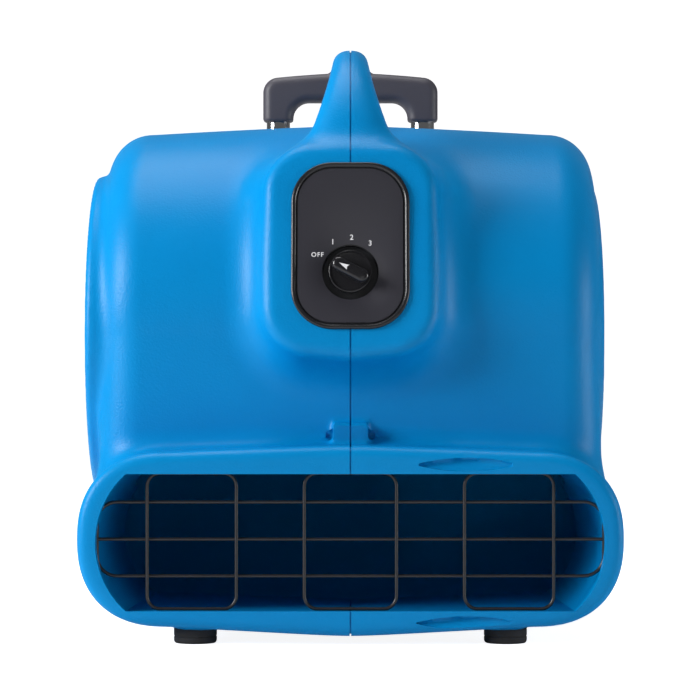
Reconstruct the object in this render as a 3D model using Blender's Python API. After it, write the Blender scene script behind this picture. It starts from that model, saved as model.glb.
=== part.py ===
"""A centrifugal air mover: a moulded snail housing in two halves, a double-inlet fan wheel on a motor
shaft, a three-speed control panel, a carry handle, a telescopic pulling handle and two rear wheels.

Metres, +Z up. The outlet faces -Y, the seam between the housing halves is the plane x = 0, and the
object stands on z = 0. Depths are measured from the plane of the outlet rim towards +Y.
"""

import math

import bmesh
import bpy
import numpy as np

# Overall frame
DEPTH = 0.466
FRONT = -DEPTH / 2
CLEARANCE = 0.0003
WALL = 0.0035

# Scroll: a logarithmic spiral about the fan shaft, from the front over the top to the bottom
SHAFT_DEPTH = 0.230
SHAFT_HEIGHT = 0.250
SPIRAL_START = 0.1615
SPIRAL_GROWTH = 0.0796
CUTOFF_ANGLE = math.radians(-50)
BODY_HALF = 0.206
BODY_DRAFT = math.tan(math.radians(2))
BODY_CORNER = 0.035

# Outlet rim and duct
RIM_HALF = 0.2215
RIM_ARC = 0.072
RIM_MIDDLE = 0.085
RIM_RISE = 0.0705
RIM_POWER = 2.35
CROWN_TOP = 0.0059
CROWN_BOTTOM = 0.0085
OPENING_CORNER = 0.1806
OPENING_HALF = 0.2052
OPENING_LOW = 0.0277
OPENING_HIGH = 0.1380

# Control panel: tilted plane, with its origin on the speed knob's axis
PANEL_TILT = math.radians(12)
KNOB_DEPTH = 0.0509
KNOB_HEIGHT = 0.3014
POD_WIDTH = 0.143
POD_LOW = -0.071
POD_HIGH = 0.108
PANEL_WIDTH = 0.0974
PANEL_HEIGHT = 0.141
PANEL_CENTRE = 0.0226
PANEL_CORNER = 0.034
KNOB_RADIUS = 0.01775
RECESS_RADIUS = 0.0225

# Fan and motor
FAN_RADIUS = 0.122
FAN_EYE = 0.100
FAN_HALF = 0.120
BLADES = 30
INLET_RADIUS = 0.1163
SHAFT_RADIUS = 0.00635
MOTOR_RADIUS = 0.066

# Telescopic handle
TUBE_SPACING = 0.0687
TUBE_DEPTH = 0.451
OUTER_TUBE = 0.0127
INNER_TUBE = 0.0111
TUBE_WALL = 0.0013
OUTER_TUBE_SPAN = (0.062, 0.400)
INNER_TUBE_SPAN = (0.072, 0.4745)
GRIP_BACK = 0.466
GRIP_FRONT = 0.436

# Wheels and feet
WHEEL_RADIUS = 0.050
AXLE_DEPTH = 0.415
AXLE_HEIGHT = 0.056
AXLE_RADIUS = 0.006
FOOT_RADIUS = 0.0175
FOOT_HEIGHT = 0.012
FOOT_SIDE = 0.126
FOOT_DEPTHS = {"front": 0.030, "rear": 0.330}

SHAFT = (0, FRONT + SHAFT_DEPTH, SHAFT_HEIGHT)
ALONG_X = (0, math.pi / 2, 0)
ALONG_Y = (-math.pi / 2, 0, 0)
SIDES = {"left": -1, "right": 1}

for leftover in list(bpy.data.objects):
    bpy.data.objects.remove(leftover)


def finish(name, colour, roughness, metallic=0.0):
    """A plain surface finish."""
    material = bpy.data.materials.new(name)
    material.use_nodes = True
    shader = material.node_tree.nodes["Principled BSDF"]
    shader.inputs["Base Color"].default_value = (*colour, 1)
    shader.inputs["Roughness"].default_value = roughness
    shader.inputs["Metallic"].default_value = metallic
    return material


BLUE = finish("blue housing plastic", (0.010, 0.262, 0.610), 0.42)
BLACK = finish("black plastic", (0.020, 0.019, 0.023), 0.45)
GREY = finish("charcoal label", (0.045, 0.042, 0.055), 0.5)
GLOSS = finish("gloss black knob", (0.008, 0.008, 0.009), 0.15)
RUBBER = finish("black rubber", (0.015, 0.015, 0.016), 0.8)
WIRE = finish("black coated wire", (0.018, 0.016, 0.019), 0.35, 0.3)
CHROME = finish("chromed tube", (0.75, 0.76, 0.78), 0.12, 1.0)
STEEL = finish("bright steel", (0.55, 0.55, 0.57), 0.3, 1.0)
MOTOR_PAINT = finish("motor paint", (0.03, 0.032, 0.036), 0.5, 0.4)
IRON = finish("laminated iron", (0.25, 0.25, 0.26), 0.5, 1.0)
ALUMINIUM = finish("cast aluminium", (0.55, 0.56, 0.58), 0.4, 1.0)
FAN_PLASTIC = finish("fan plastic", (0.025, 0.025, 0.028), 0.5)
CAN = finish("capacitor can", (0.30, 0.31, 0.33), 0.35, 0.8)

panel_frame = bpy.data.objects.new("panel_frame", None)
panel_frame.location = (0, FRONT + KNOB_DEPTH, KNOB_HEIGHT)
panel_frame.rotation_euler = (math.pi / 2 - PANEL_TILT, 0, 0)
bpy.context.collection.objects.link(panel_frame)


def loft(rings, closed=False):
    """The skin through rings of equal size, with its ends capped unless it closes on itself."""
    rings = np.asarray(rings, float)
    count, size = rings.shape[:2]
    faces = []
    for ring in range(count - 1 + closed):
        near, far = ring * size, (ring + 1) % count * size
        for place in range(size):
            after = (place + 1) % size
            faces.append((near + place, near + after, far + after, far + place))
    if not closed:
        faces.append(tuple(range(size)))
        faces.append(tuple(range((count - 1) * size, count * size)))
    return rings.reshape(-1, 3), faces


def round_bar(profile, steps=24):
    """A turned solid about Z from (height, radius) stations."""
    angle = np.linspace(0, 2 * math.pi, steps, endpoint=False)
    circle = np.stack([np.cos(angle), np.sin(angle), 0 * angle], 1)
    return loft([circle * (radius, radius, 0) + (0, 0, height) for height, radius in profile])


def round_ring(profile, steps=24):
    """A turned ring about Z from a closed outline of (height, radius) corners."""
    height, radius = np.asarray(profile, float).T
    angle = np.linspace(0, 2 * math.pi, steps, endpoint=False)[:, None]
    rings = np.stack([radius * np.cos(angle), radius * np.sin(angle), height + 0 * angle], 2)
    return loft(rings, closed=True)


def spun(geometry, angle):
    """The same shape turned about Z."""
    points, faces = geometry
    cos, sin = math.cos(angle), math.sin(angle)
    x, y, z = points.T
    return np.column_stack([cos * x - sin * y, sin * x + cos * y, z]), faces


def block(low, high):
    """A box between two corners."""
    (x0, y0, z0), (x1, y1, z1) = low, high
    base = np.array([(x0, y0), (x1, y0), (x1, y1), (x0, y1)])
    return loft([np.column_stack([base, np.full(4, z)]) for z in (z0, z1)])


def prism(outline, start, end, axis=2):
    """A straight extrusion of a flat outline along one axis."""
    outline = np.asarray(outline, float)
    return loft([np.insert(outline, axis, place, axis=1) for place in (start, end)])


def sweep(path, across, section, closed=False):
    """Carries a section along a path that lies in a plane; across is the plane's normal."""
    path, across = np.asarray(path, float), np.asarray(across, float)
    if closed:
        tangent = np.roll(path, -1, 0) - np.roll(path, 1, 0)
    else:
        tangent = np.gradient(path, axis=0)
    tangent /= np.linalg.norm(tangent, axis=1)[:, None]
    inward = np.cross(across, tangent)
    section = np.broadcast_to(section, (len(path), *np.shape(section)[-2:]))
    rings = path[:, None] + section[..., :1] * inward[:, None] + section[..., 1:] * across
    return loft(rings, closed)


def circle_section(radius, sides=4):
    """The outline of a round wire."""
    angle = np.linspace(0, 2 * math.pi, sides, endpoint=False)
    return radius * np.column_stack([np.cos(angle), np.sin(angle)])


def arc(centre, radius, start, end, steps):
    """Points on an arc between two angles in degrees."""
    angle = np.radians(np.linspace(start, end, steps + 1))
    return np.array(centre) + radius * np.column_stack([np.cos(angle), np.sin(angle)])


def rounded_rectangle(low, high, radius_top, radius_bottom, steps=3):
    """A rectangle outline with rounded corners, anticlockwise from the lower right."""
    (x0, y0), (x1, y1) = low, high
    return np.concatenate([
        arc((x1 - radius_bottom, y0 + radius_bottom), radius_bottom, -90, 0, steps),
        arc((x1 - radius_top, y1 - radius_top), radius_top, 0, 90, steps),
        arc((x0 + radius_top, y1 - radius_top), radius_top, 90, 180, steps),
        arc((x0 + radius_bottom, y0 + radius_bottom), radius_bottom, 180, 270, steps),
    ])


def solid(name, geometry, material, at=(0, 0, 0), turn=(0, 0, 0), parent=None, smooth=True):
    """A closed solid as its own object, with its faces pointing out."""
    points, faces = geometry
    mesh = bpy.data.meshes.new(name)
    mesh.from_pydata(points.tolist(), [], faces)
    work = bmesh.new()
    work.from_mesh(mesh)
    bmesh.ops.recalc_face_normals(work, faces=work.faces)
    work.to_mesh(mesh)
    work.free()
    if smooth:
        mesh.shade_smooth()
        mesh.set_sharp_from_angle(angle=math.radians(30))
    if material:
        mesh.materials.append(material)
    made = bpy.data.objects.new(name, mesh)
    made.location, made.rotation_euler, made.parent = at, turn, parent
    bpy.context.collection.objects.link(made)
    return made


def helper(name, geometry, at=(0, 0, 0), turn=(0, 0, 0), parent=None):
    """A hidden solid that only shapes others."""
    made = solid(name, geometry, None, at, turn, parent, smooth=False)
    made.hide_render = True
    made.display_type = "WIRE"
    return made


def combine(target, tools, operation, solver="EXACT"):
    """Adds one live Boolean for each tool."""
    for tool in tools:
        step = target.modifiers.new(f"{operation.lower()} {tool.name}", "BOOLEAN")
        step.operation = operation
        step.object = tool
        step.solver = solver


def scroll_radius(angle):
    """Distance from the shaft to the scroll: a logarithmic spiral up to the bottom, then a soft corner."""
    spiral = SPIRAL_START * np.exp(SPIRAL_GROWTH * angle)
    bottom = SPIRAL_START * math.exp(SPIRAL_GROWTH * 1.5 * math.pi)
    power = 5
    across = np.abs(np.cos(angle)) / SPIRAL_START
    down = np.abs(np.sin(angle)) / bottom
    corner = (across**power + down**power) ** (-1 / power)
    return np.where(angle > 1.5 * math.pi, corner, spiral)


def scroll_inset(x, half, corner):
    """How far the scroll stands in at x: the mould's draft, then the rounded side edge."""
    along = np.clip(np.abs(x) - (half - corner), 0, corner)
    return BODY_DRAFT * abs(x) + corner - math.sqrt(corner**2 - float(along) ** 2)


def scroll_ring(x, angle, radius):
    """One section of the scroll at x, as points about the shaft."""
    y = SHAFT[1] - radius * np.cos(angle)
    z = SHAFT[2] + radius * np.sin(angle)
    return np.column_stack([np.full_like(y, x), y, z])


def scroll(angle, half, corner, offset):
    """The scroll as a loft across X; offset moves its surface in."""
    share = np.array([1, 0.9, 0.55, 0])
    stations = np.concatenate([-(half - corner + corner * share), [0], half - corner + corner * share[::-1]])
    radius = scroll_radius(angle) - offset
    return loft([
        scroll_ring(x, angle, radius - scroll_inset(x, half, corner)) for x in stations
    ])


def rim_outline(inset, steps=6):
    """The outlet rim's outer outline in X and Z: rounded ends joined by crowned top and bottom edges."""
    angle = np.radians(np.linspace(0, 90, steps + 1))
    reach, rise = RIM_ARC - inset, RIM_RISE - inset
    centre = RIM_HALF - RIM_ARC
    x = centre + reach * np.cos(angle) ** (2 / RIM_POWER)
    z = rise * np.sin(angle) ** (2 / RIM_POWER)
    x, z = np.append(x, (centre * 0.5, 0)), np.append(z, (rise, rise))
    share = 1 - np.minimum(x / centre, 1)
    top = np.column_stack([x, RIM_MIDDLE + z + CROWN_TOP * share])
    bottom = np.column_stack([x, RIM_MIDDLE - z - CROWN_BOTTOM * share])
    mirror = np.array([-1, 1])
    return np.concatenate([top, top[-2::-1] * mirror, bottom[1:] * mirror, bottom[-2:0:-1]])


def duct_outline(half, corner, low, high, slope, steps=6):
    """The air duct's outline: flat top and bottom that meet bowed ends at a crease."""
    low_corner, high_corner = low + slope * corner, high
    chord, bow = (high_corner - low_corner) / 2, half - corner
    radius = (chord**2 + bow**2) / (2 * bow)
    spread = math.degrees(math.asin(chord / radius))
    middle = (high_corner + low_corner) / 2
    right = arc((half - radius, middle), radius, -spread, spread, steps)
    left = right[::-1] * (-1, 1)
    return np.concatenate([right, [(0, high)], left, [(0, low)]])


def at_depth(outline, depth):
    """Places an outline in X and Z at a depth behind the rim."""
    return np.insert(outline, 1, FRONT + depth, axis=1)


def carry_handle(inset, first, last):
    """The carry handle as a closed sweep; inset makes its hollow."""
    stations = np.array([
        # depth, height, half width, half thickness
        (0.104, 0.376, 0.046, 0.022),
        (0.104, 0.404, 0.0385, 0.020),
        (0.112, 0.432, 0.0300, 0.018),
        (0.131, 0.459, 0.0205, 0.0155),
        (0.163, 0.4785, 0.0157, 0.0140),
        (0.200, 0.4835, 0.0153, 0.0138),
        (0.250, 0.4825, 0.0153, 0.0138),
        (0.298, 0.474, 0.0160, 0.0140),
        (0.334, 0.452, 0.0190, 0.0150),
        (0.357, 0.418, 0.0230, 0.0170),
        (0.372, 0.380, 0.0280, 0.0190),
    ])[first:last]
    path = np.column_stack([np.zeros(len(stations)), FRONT + stations[:, 0], stations[:, 1]])
    angle = np.linspace(0, 2 * math.pi, 12, endpoint=False) + math.pi / 12
    section = np.stack([
        (stations[:, 3:4] - inset) * np.sign(np.cos(angle)) * np.abs(np.cos(angle)) ** 0.8,
        (stations[:, 2:3] - inset) * np.sign(np.sin(angle)) * np.abs(np.sin(angle)) ** 0.8,
    ], axis=2)
    return sweep(path, (1, 0, 0), section)


SEAM_BOSSES = {
    # name: (depth, height, half depth, half height)
    "front": (0.064, 0.168, 0.010, 0.0095),
    "back": (0.436, 0.225, 0.012, 0.009),
    "base": (0.180, 0.014, 0.010, 0.007),
}
SEAM_SCREWS = {name: place[:2] for name, place in SEAM_BOSSES.items()}
SEAM_SCREWS["handle"] = (0.215, 0.4835)
BRACKET_HEIGHTS = {"upper": 0.345, "lower": 0.105}
BRACKET_HALF = 0.015
BRACKET_SCREW = 0.035
PAD_FACE = 0.425
GLAND_ANGLE = math.radians(199)
GLAND_SIDE = -0.115


def housing():
    """Both halves of the snail housing, cut from one hollow shell at the seam."""
    full = np.radians(np.arange(0, 360, 10))
    whole = helper("housing_shape", scroll(full, BODY_HALF, BODY_CORNER, 0))
    added = [helper("rim_shape", loft([
        at_depth(rim_outline(inset), depth)
        for depth, inset in ((0, 0.0065), (0.002, 0.0025), (0.0065, 0), (0.070, 0.001), (0.190, 0.003), (0.236, 0.012))
    ]))]
    pod_sections = ((0, 0.007), (-0.002, 0.003), (-0.007, 0), (-0.085, -0.004))
    added.append(helper("pod_shape", loft([
        np.insert(rounded_rectangle(
            (-POD_WIDTH / 2 + inset, POD_LOW + inset), (POD_WIDTH / 2 - inset, POD_HIGH - inset),
            0.036 - inset, 0.027 - inset), 2, height, axis=1)
        for height, inset in pod_sections
    ]), parent=panel_frame))
    added.append(helper("handle_shape", carry_handle(0, 0, None)))
    for side, reach, radius in (("left", 0.222, 0.140), ("right", 0.212, 0.130)):
        start = BODY_HALF - 0.006
        lip = 0.005
        profile = [(start, INLET_RADIUS - 0.004), (start, radius + 0.004), (reach - lip, radius),
                   (reach, radius - lip), (reach, INLET_RADIUS - 0.004)]
        added.append(helper(f"inlet_ring_{side}", round_ring(profile, 28), SHAFT,
                            (0, SIDES[side] * math.pi / 2, 0)))
    for name, (depth, height, half_depth, half_height) in SEAM_BOSSES.items():
        added.append(helper(f"seam_boss_{name}", block(
            (-0.0145, FRONT + depth - half_depth, height - half_height),
            (0.0145, FRONT + depth + half_depth + 0.006, height + half_height))))
    for side, sign in SIDES.items():
        for level, height in BRACKET_HEIGHTS.items():
            near, far = sorted((sign * 0.022, sign * 0.082))
            added.append(helper(f"{level}_pad_{side}", block(
                (near, FRONT + 0.365, height - BRACKET_HALF), (far, FRONT + PAD_FACE, height + BRACKET_HALF))))
        near, far = sorted((sign * 0.164, sign * 0.184))
        lug = FRONT + np.array([0.340, 0.428, 0.430, 0.385])
        added.append(helper(f"axle_lug_{side}", prism(
            np.column_stack([lug, (0.042, 0.042, 0.072, 0.104)]), near, far, axis=0)))
        for end, depth in FOOT_DEPTHS.items():
            top = 0.0245 if end == "front" else 0.062
            added.append(helper(f"{end}_foot_boss_{side}", round_bar(
                [(FOOT_HEIGHT + CLEARANCE, 0.0185), (top, 0.0195)], 20),
                (sign * FOOT_SIDE, FRONT + depth, 0)))
    combine(whole, added, "UNION", "MANIFOLD")

    inner = np.linspace(CUTOFF_ANGLE, 1.5 * math.pi, 33)
    wall_corner = BODY_CORNER - WALL
    cut = [helper("air_space", scroll(inner, BODY_HALF - WALL, wall_corner, WALL))]
    rear_duct = duct_outline(0.1985, 0.172, 0.0185, 0.134, BODY_DRAFT)
    front_duct = duct_outline(OPENING_HALF, OPENING_CORNER, OPENING_LOW, OPENING_HIGH, 0)
    cut.append(helper("duct_space", loft([
        at_depth(front_duct, -0.005), at_depth(front_duct, 0.004), at_depth(rear_duct, SHAFT_DEPTH + 0.002)
    ])))
    cut.append(helper("inlet_space", round_bar([(-0.230, INLET_RADIUS), (0.230, INLET_RADIUS)], 28),
                      SHAFT, ALONG_X))
    pocket = helper("panel_pocket", prism(rounded_rectangle(
        (-0.058, -0.058), (0.058, 0.096), 0.030, 0.020), -0.070, -0.0035), parent=panel_frame)
    combine(pocket, [helper("pocket_floor", scroll(full, BODY_HALF, BODY_CORNER, 0))], "DIFFERENCE", "MANIFOLD")
    cut.append(pocket)
    cut.append(helper("panel_opening", prism(panel_outline(0.0027 - CLEARANCE), -0.010, 0.012), parent=panel_frame))
    relief = helper("cutoff_relief", block(
        (-0.165, FRONT + 0.0815, 0.152), (0.165, FRONT + 0.128, 0.240)))
    combine(relief, [helper("relief_floor", relief_core())], "DIFFERENCE", "MANIFOLD")
    cut.append(relief)
    cut.append(helper("handle_hollow", carry_handle(0.004, 3, 9)))
    for name, (depth, height) in SEAM_SCREWS.items():
        at = (0, FRONT + depth, height)
        cut.append(helper(f"screw_hole_{name}", round_bar([(-0.013, 0.0029), (0.030, 0.0029)], 12), at, ALONG_X))
        cut.append(helper(f"screw_seat_{name}", round_bar([(0.0098, 0.0051), (0.030, 0.0051)], 12), at, ALONG_X))
        cut.append(helper(f"nut_seat_{name}", round_bar([(-0.030, 0.0051), (-0.0098, 0.0051)], 12), at, ALONG_X))
    for side, sign in SIDES.items():
        for level, height in BRACKET_HEIGHTS.items():
            cut.append(helper(f"{level}_pad_hole_{side}", round_bar([(-0.014, 0.0023), (0.002, 0.0023)], 12),
                              (sign * BRACKET_SCREW, FRONT + PAD_FACE, height), ALONG_Y))
    cut.append(helper("axle_hole", round_bar([(-0.19, 0.0063), (0.19, 0.0063)], 20),
                      (0, FRONT + AXLE_DEPTH, AXLE_HEIGHT), ALONG_X))
    cut.append(helper("gland_hole", round_bar([(-0.030, 0.0068), (0.010, 0.0068)], 16), *gland_place()))
    combine(whole, cut, "DIFFERENCE", "MANIFOLD")

    for side, sign in SIDES.items():
        near, far = sorted((sign * CLEARANCE / 2, sign * 0.26))
        half = solid(f"housing_{side}", block((near, -0.26, -0.02), (far, 0.26, 0.54)), BLUE)
        combine(half, [whole], "INTERSECT", "MANIFOLD")


def relief_core():
    """The round wall that stays between the air space and the hollow ahead of the cutoff."""
    angle = np.radians(np.linspace(-75, 15, 12))
    radius = SPIRAL_START * np.exp(SPIRAL_GROWTH * angle) + 0.0003
    edge = np.column_stack([SHAFT[1] - radius * np.cos(angle), SHAFT[2] + radius * np.sin(angle)])
    return prism(np.concatenate([edge, [SHAFT[1:]]]), -0.20, 0.20, axis=0)


def gland_place():
    """Where the power cord's gland stands on the scroll's back, and its turn."""
    radius = float(scroll_radius(np.array(GLAND_ANGLE))) - BODY_DRAFT * abs(GLAND_SIDE)
    at = (GLAND_SIDE, SHAFT[1] - radius * math.cos(GLAND_ANGLE), SHAFT[2] + radius * math.sin(GLAND_ANGLE))
    return at, (-math.pi / 2 - (GLAND_ANGLE - math.pi), 0, 0)


def panel_outline(inset):
    """The control panel's outline in its own plane, standing in by inset."""
    half, rise, radius = PANEL_WIDTH / 2 - inset, PANEL_HEIGHT / 2 - inset, PANEL_CORNER - inset
    return rounded_rectangle((-half, PANEL_CENTRE - rise), (half, PANEL_CENTRE + rise), radius, radius)


def control_panel():
    """The black moulded panel with its raised bead, the charcoal label and the speed switch."""
    steps = ((0.0027, -0.0060), (0.0027, CLEARANCE), (0, CLEARANCE), (0, 0.0018), (0.0012, 0.0030),
             (0.0032, 0.0030), (0.0046, 0.0006))
    rings = [np.insert(panel_outline(inset), 2, height, axis=1) for inset, height in steps]
    panel = solid("control_panel", loft(rings), BLACK, parent=panel_frame)
    recess = helper("knob_recess", round_bar([(-0.0034, RECESS_RADIUS), (0.010, RECESS_RADIUS)], 32),
                    parent=panel_frame)
    hole = helper("switch_hole", round_bar([(-0.010, 0.0051), (0.010, 0.0051)], 16), parent=panel_frame)
    combine(panel, [recess, hole], "DIFFERENCE")
    label = solid("panel_label", prism(panel_outline(0.0050), 0.0009, 0.0017), GREY, parent=panel_frame)
    window = helper("label_window", round_bar([(-0.01, RECESS_RADIUS), (0.01, RECESS_RADIUS)], 32),
                    parent=panel_frame)
    combine(label, [window], "DIFFERENCE")

    switch = solid("rotary_switch", block((-0.015, -0.015, -0.0195), (0.015, 0.015, -0.0063)), BLACK,
                   parent=panel_frame)
    neck = helper("switch_neck", round_bar([(-0.010, 0.0047), (-0.0009, 0.0047)], 16), parent=panel_frame)
    bore = helper("switch_bore", round_bar([(-0.012, 0.0033), (0.002, 0.0033)], 16), parent=panel_frame)
    combine(switch, [neck], "UNION")
    combine(switch, [bore], "DIFFERENCE")
    nut = [(-0.0031, 0.0050), (-0.0031, 0.0080), (-0.0012, 0.0080), (-0.0012, 0.0050)]
    solid("switch_nut", round_ring(nut, 12), STEEL, parent=panel_frame, smooth=False)


def speed_knob():
    """The pointer knob with its grip bar, on the switch's shaft."""
    disc = [(-0.0029, KNOB_RADIUS), (0.0040, KNOB_RADIUS), (0.0052, KNOB_RADIUS - 0.0012)]
    knob = solid("speed_knob", round_bar(disc, 32), GLOSS, parent=panel_frame)
    width, length, off_mark = 0.0058, KNOB_RADIUS - 0.0004, math.radians(152)
    bar = helper("knob_bar", loft([
        np.insert(rounded_rectangle((-length + inset, -width + inset), (length - inset, width - inset),
                                    0.004 - inset, 0.004 - inset, 3), 2, height, axis=1)
        for height, inset in ((0.002, 0), (0.0125, 0.0005), (0.0138, 0.0018))
    ]), turn=(0, 0, off_mark), parent=panel_frame)
    combine(knob, [bar], "UNION")
    seat = helper("knob_seat", round_bar([(-0.005, 0.0092), (0.0003, 0.0092)], 16), parent=panel_frame)
    socket = helper("knob_socket", round_bar([(-0.005, 0.0033), (0.0090, 0.0033)], 16), parent=panel_frame)
    combine(knob, [seat, socket], "DIFFERENCE")
    solid("switch_shaft", round_bar([(-0.0115, 0.0030), (0.0085, 0.0030)], 16), STEEL, parent=panel_frame)


def capacitor():
    """The motor's run capacitor and its clip, in the space behind the panel."""
    centre = (0, 0.078, -0.0205)
    solid("run_capacitor", round_bar([(-0.028, 0.0115), (-0.0265, 0.0130), (0.0265, 0.0130), (0.028, 0.0115)], 20),
          CAN, centre, ALONG_X, panel_frame)
    band = [(-0.006, 0.0133), (-0.006, 0.0145), (0.006, 0.0145), (0.006, 0.0133)]
    solid("capacitor_clip", round_ring(band, 20), STEEL, centre, ALONG_X, panel_frame)


def wire_guard(side, place):
    """A round inlet guard of concentric wires on radial spokes."""
    wire, spoke_count = 0.0015, 4
    hub = helper(f"guard_hub_{side}", round_bar([(-0.0018, 0.013), (0.0018, 0.013)], 16),
                 (place, *SHAFT[1:]), ALONG_X)
    guard = solid(f"inlet_guard_{side}", ring_wire(0.1130, wire), WIRE, (place, *SHAFT[1:]), ALONG_X)
    rings = [helper(f"guard_ring_{side}_{count}", ring_wire(radius, wire), (place, *SHAFT[1:]), ALONG_X)
             for count, radius in enumerate((0.046, 0.080))]
    spokes = []
    for count in range(spoke_count):
        angle = 2 * math.pi * (count + 0.25) / spoke_count
        bar = block((0.0085, -0.0016, -0.00105), (0.1129, 0.0016, 0.00105))
        spokes.append(helper(f"guard_spoke_{side}_{count}", spun(bar, angle), (place, *SHAFT[1:]), ALONG_X))
    combine(guard, spokes + rings + [hub], "UNION", "MANIFOLD")


def ring_wire(radius, wire):
    """A closed wire ring about Z."""
    sides, steps = 4, 20
    around = np.linspace(0, 2 * math.pi, sides, endpoint=False)
    return round_ring(np.column_stack([wire * np.cos(around), radius + wire * np.sin(around)]), steps)


def inlets():
    """The bell-mouth inlet rings and their guards."""
    throat, flange = 0.0950, 0.1150
    inner = [(0.2090, 0.1105), (0.1980, 0.1035), (0.1750, 0.0970), (0.1300, throat)]
    outer = [(0.1300, throat + 0.0025), (0.1750, 0.0998), (0.1980, 0.1070), (0.2063, flange), (0.2090, flange)]
    for side, sign in SIDES.items():
        solid(f"inlet_cone_{side}", round_ring(inner + outer, 24), BLACK, SHAFT, (0, sign * math.pi / 2, 0))
    wire_guard("left", -0.2178)
    wire_guard("right", 0.2110)


def fan():
    """The double-inlet fan wheel, its hub and set screw, and the shaft with the motor's rotor."""
    plate = [(-0.00125, 0.0203), (-0.00125, 0.112), (0.00125, 0.112), (0.00125, 0.0203)]
    wheel = solid("fan_wheel", round_ring(plate, 36), FAN_PLASTIC, SHAFT, ALONG_X)
    parts = []
    for side, sign in SIDES.items():
        near, far = sign * (FAN_HALF - 0.003), sign * FAN_HALF
        edge = [(near, FAN_EYE - 0.001), (near, FAN_RADIUS + 0.001), (far, FAN_RADIUS + 0.001),
                (far, FAN_EYE - 0.001)]
        parts.append(helper(f"fan_ring_{side}", round_ring(edge, 36), SHAFT, ALONG_X))
    radius = np.array([FAN_EYE, FAN_RADIUS])
    lead = np.array([0, -0.11])
    reach, half_thick = FAN_HALF - 0.0015, 0.0008
    points, faces = [], []
    for blade in range(BLADES):
        turn = 2 * math.pi * (blade + 0.5) / BLADES
        sides = [np.column_stack([radius * np.cos(turn + lead + sign * half_thick / radius),
                                  radius * np.sin(turn + lead + sign * half_thick / radius)])
                 for sign in (-1, 1)]
        blade_points, blade_faces = prism(np.concatenate([sides[0], sides[1][::-1]]), -reach, reach)
        faces += [tuple(index + len(points) for index in face) for face in blade_faces]
        points += blade_points.tolist()
    parts.append(helper("fan_blades", (np.array(points), faces), SHAFT, ALONG_X))
    combine(wheel, parts, "UNION", "MANIFOLD")

    hub = [(-0.012, 0.0066), (-0.012, 0.0200), (0.0017, 0.0200), (0.0017, 0.0340), (0.0050, 0.0340),
           (0.0050, 0.0200), (0.0170, 0.0190), (0.0170, 0.0066)]
    made = solid("fan_hub", round_ring(hub, 18), ALUMINIUM, SHAFT, ALONG_X)
    screw_at = (0.0110, SHAFT[1], SHAFT[2])
    hole = helper("set_screw_hole", round_bar([(0.004, 0.0029), (0.026, 0.0029)], 12), screw_at)
    combine(made, [hole], "DIFFERENCE")
    solid("hub_set_screw", round_bar([(0.0068, 0.0025), (0.0180, 0.0025)], 12), STEEL, screw_at)
    solid("motor_shaft", round_bar([(-0.172, 0.0055), (-0.170, SHAFT_RADIUS), (0.018, SHAFT_RADIUS),
                                    (0.020, 0.0055)], 16), STEEL, SHAFT, ALONG_X)
    core = [(-0.130, 0.0066), (-0.130, 0.0350), (-0.070, 0.0350), (-0.070, 0.0066)]
    solid("rotor_core", round_ring(core, 24), IRON, SHAFT, ALONG_X)


def motor():
    """The motor: wound stator shell, two end bells with ball bearings, and its three-armed mount."""
    shell = [(-0.149, 0.0355), (-0.149, MOTOR_RADIUS), (-0.051, MOTOR_RADIUS), (-0.051, 0.0355)]
    solid("motor_stator", round_ring(shell, 24), MOTOR_PAINT, SHAFT, ALONG_X)
    ends = {"outer": (-0.1493, -1), "inner": (-0.0507, 1)}
    for name, (face, way) in ends.items():
        bell = [(face, 0.0145), (face, MOTOR_RADIUS), (face + way * 0.010, MOTOR_RADIUS - 0.002),
                (face + way * 0.016, MOTOR_RADIUS - 0.010), (face + way * 0.016, 0.024),
                (face + way * 0.020, 0.020), (face + way * 0.020, 0.0085), (face + way * 0.0105, 0.0085),
                (face + way * 0.0105, 0.0145)]
        solid(f"end_bell_{name}", round_ring(bell, 20), ALUMINIUM, SHAFT, ALONG_X)
        race = [(face + way * 0.001, 0.0067), (face + way * 0.001, 0.0142),
                (face + way * 0.0100, 0.0142), (face + way * 0.0100, 0.0067)]
        solid(f"bearing_{name}", round_ring(race, 16), STEEL, SHAFT, ALONG_X)
    thick, half_width = 0.0035, 0.011
    plate_face = -0.1660
    plate = [(plate_face - thick, 0.0250), (plate_face - thick, 0.0520), (plate_face, 0.0520),
             (plate_face, 0.0250)]
    mount = solid("motor_mount", round_ring(plate, 24), STEEL, SHAFT, ALONG_X)
    run = np.array([(0.040, plate_face), (0.062, plate_face), (0.094, -0.2093), (0.1145, -0.2093)])
    arms = []
    for count in range(3):
        spine = np.concatenate([run, run[::-1] - (0, thick)])
        arm = spun(prism(spine, -half_width, half_width, axis=1), 2 * math.pi * count / 3)
        arms.append(helper(f"mount_arm_{count}", arm, SHAFT, ALONG_X))
    combine(mount, arms, "UNION")


def outlet_guard():
    """The welded outlet grille: a long hoop, a middle bar and three upright loops."""
    wire = 0.00145
    front, back = FRONT + 0.0105, FRONT + 0.0105 + 2 * wire - 0.0004
    section = circle_section(wire)
    hoop = np.insert(rounded_rectangle((-0.2018, 0.0550), (0.2018, 0.1143), 0.020, 0.020), 1, back, axis=1)
    guard = solid("outlet_guard", sweep(hoop, (0, 1, 0), section, closed=True), WIRE)
    bar = [(x, back, 0.0845) for x in (-0.2035, 0, 0.2035)]
    pieces = [helper("guard_bar", sweep(bar, (0, 1, 0), section))]
    for count, (left, right) in enumerate(((-0.1640, -0.0920), (-0.0372, 0.0372), (0.0920, 0.1640))):
        loop = rounded_rectangle((left, 0.0297), (right, 0.1361), 0.0105, 0.0105)
        pieces.append(helper(f"guard_loop_{count}", sweep(
            np.insert(loop, 1, front, axis=1), (0, 1, 0), section, closed=True)))
    combine(guard, pieces, "UNION", "MANIFOLD")


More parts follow.
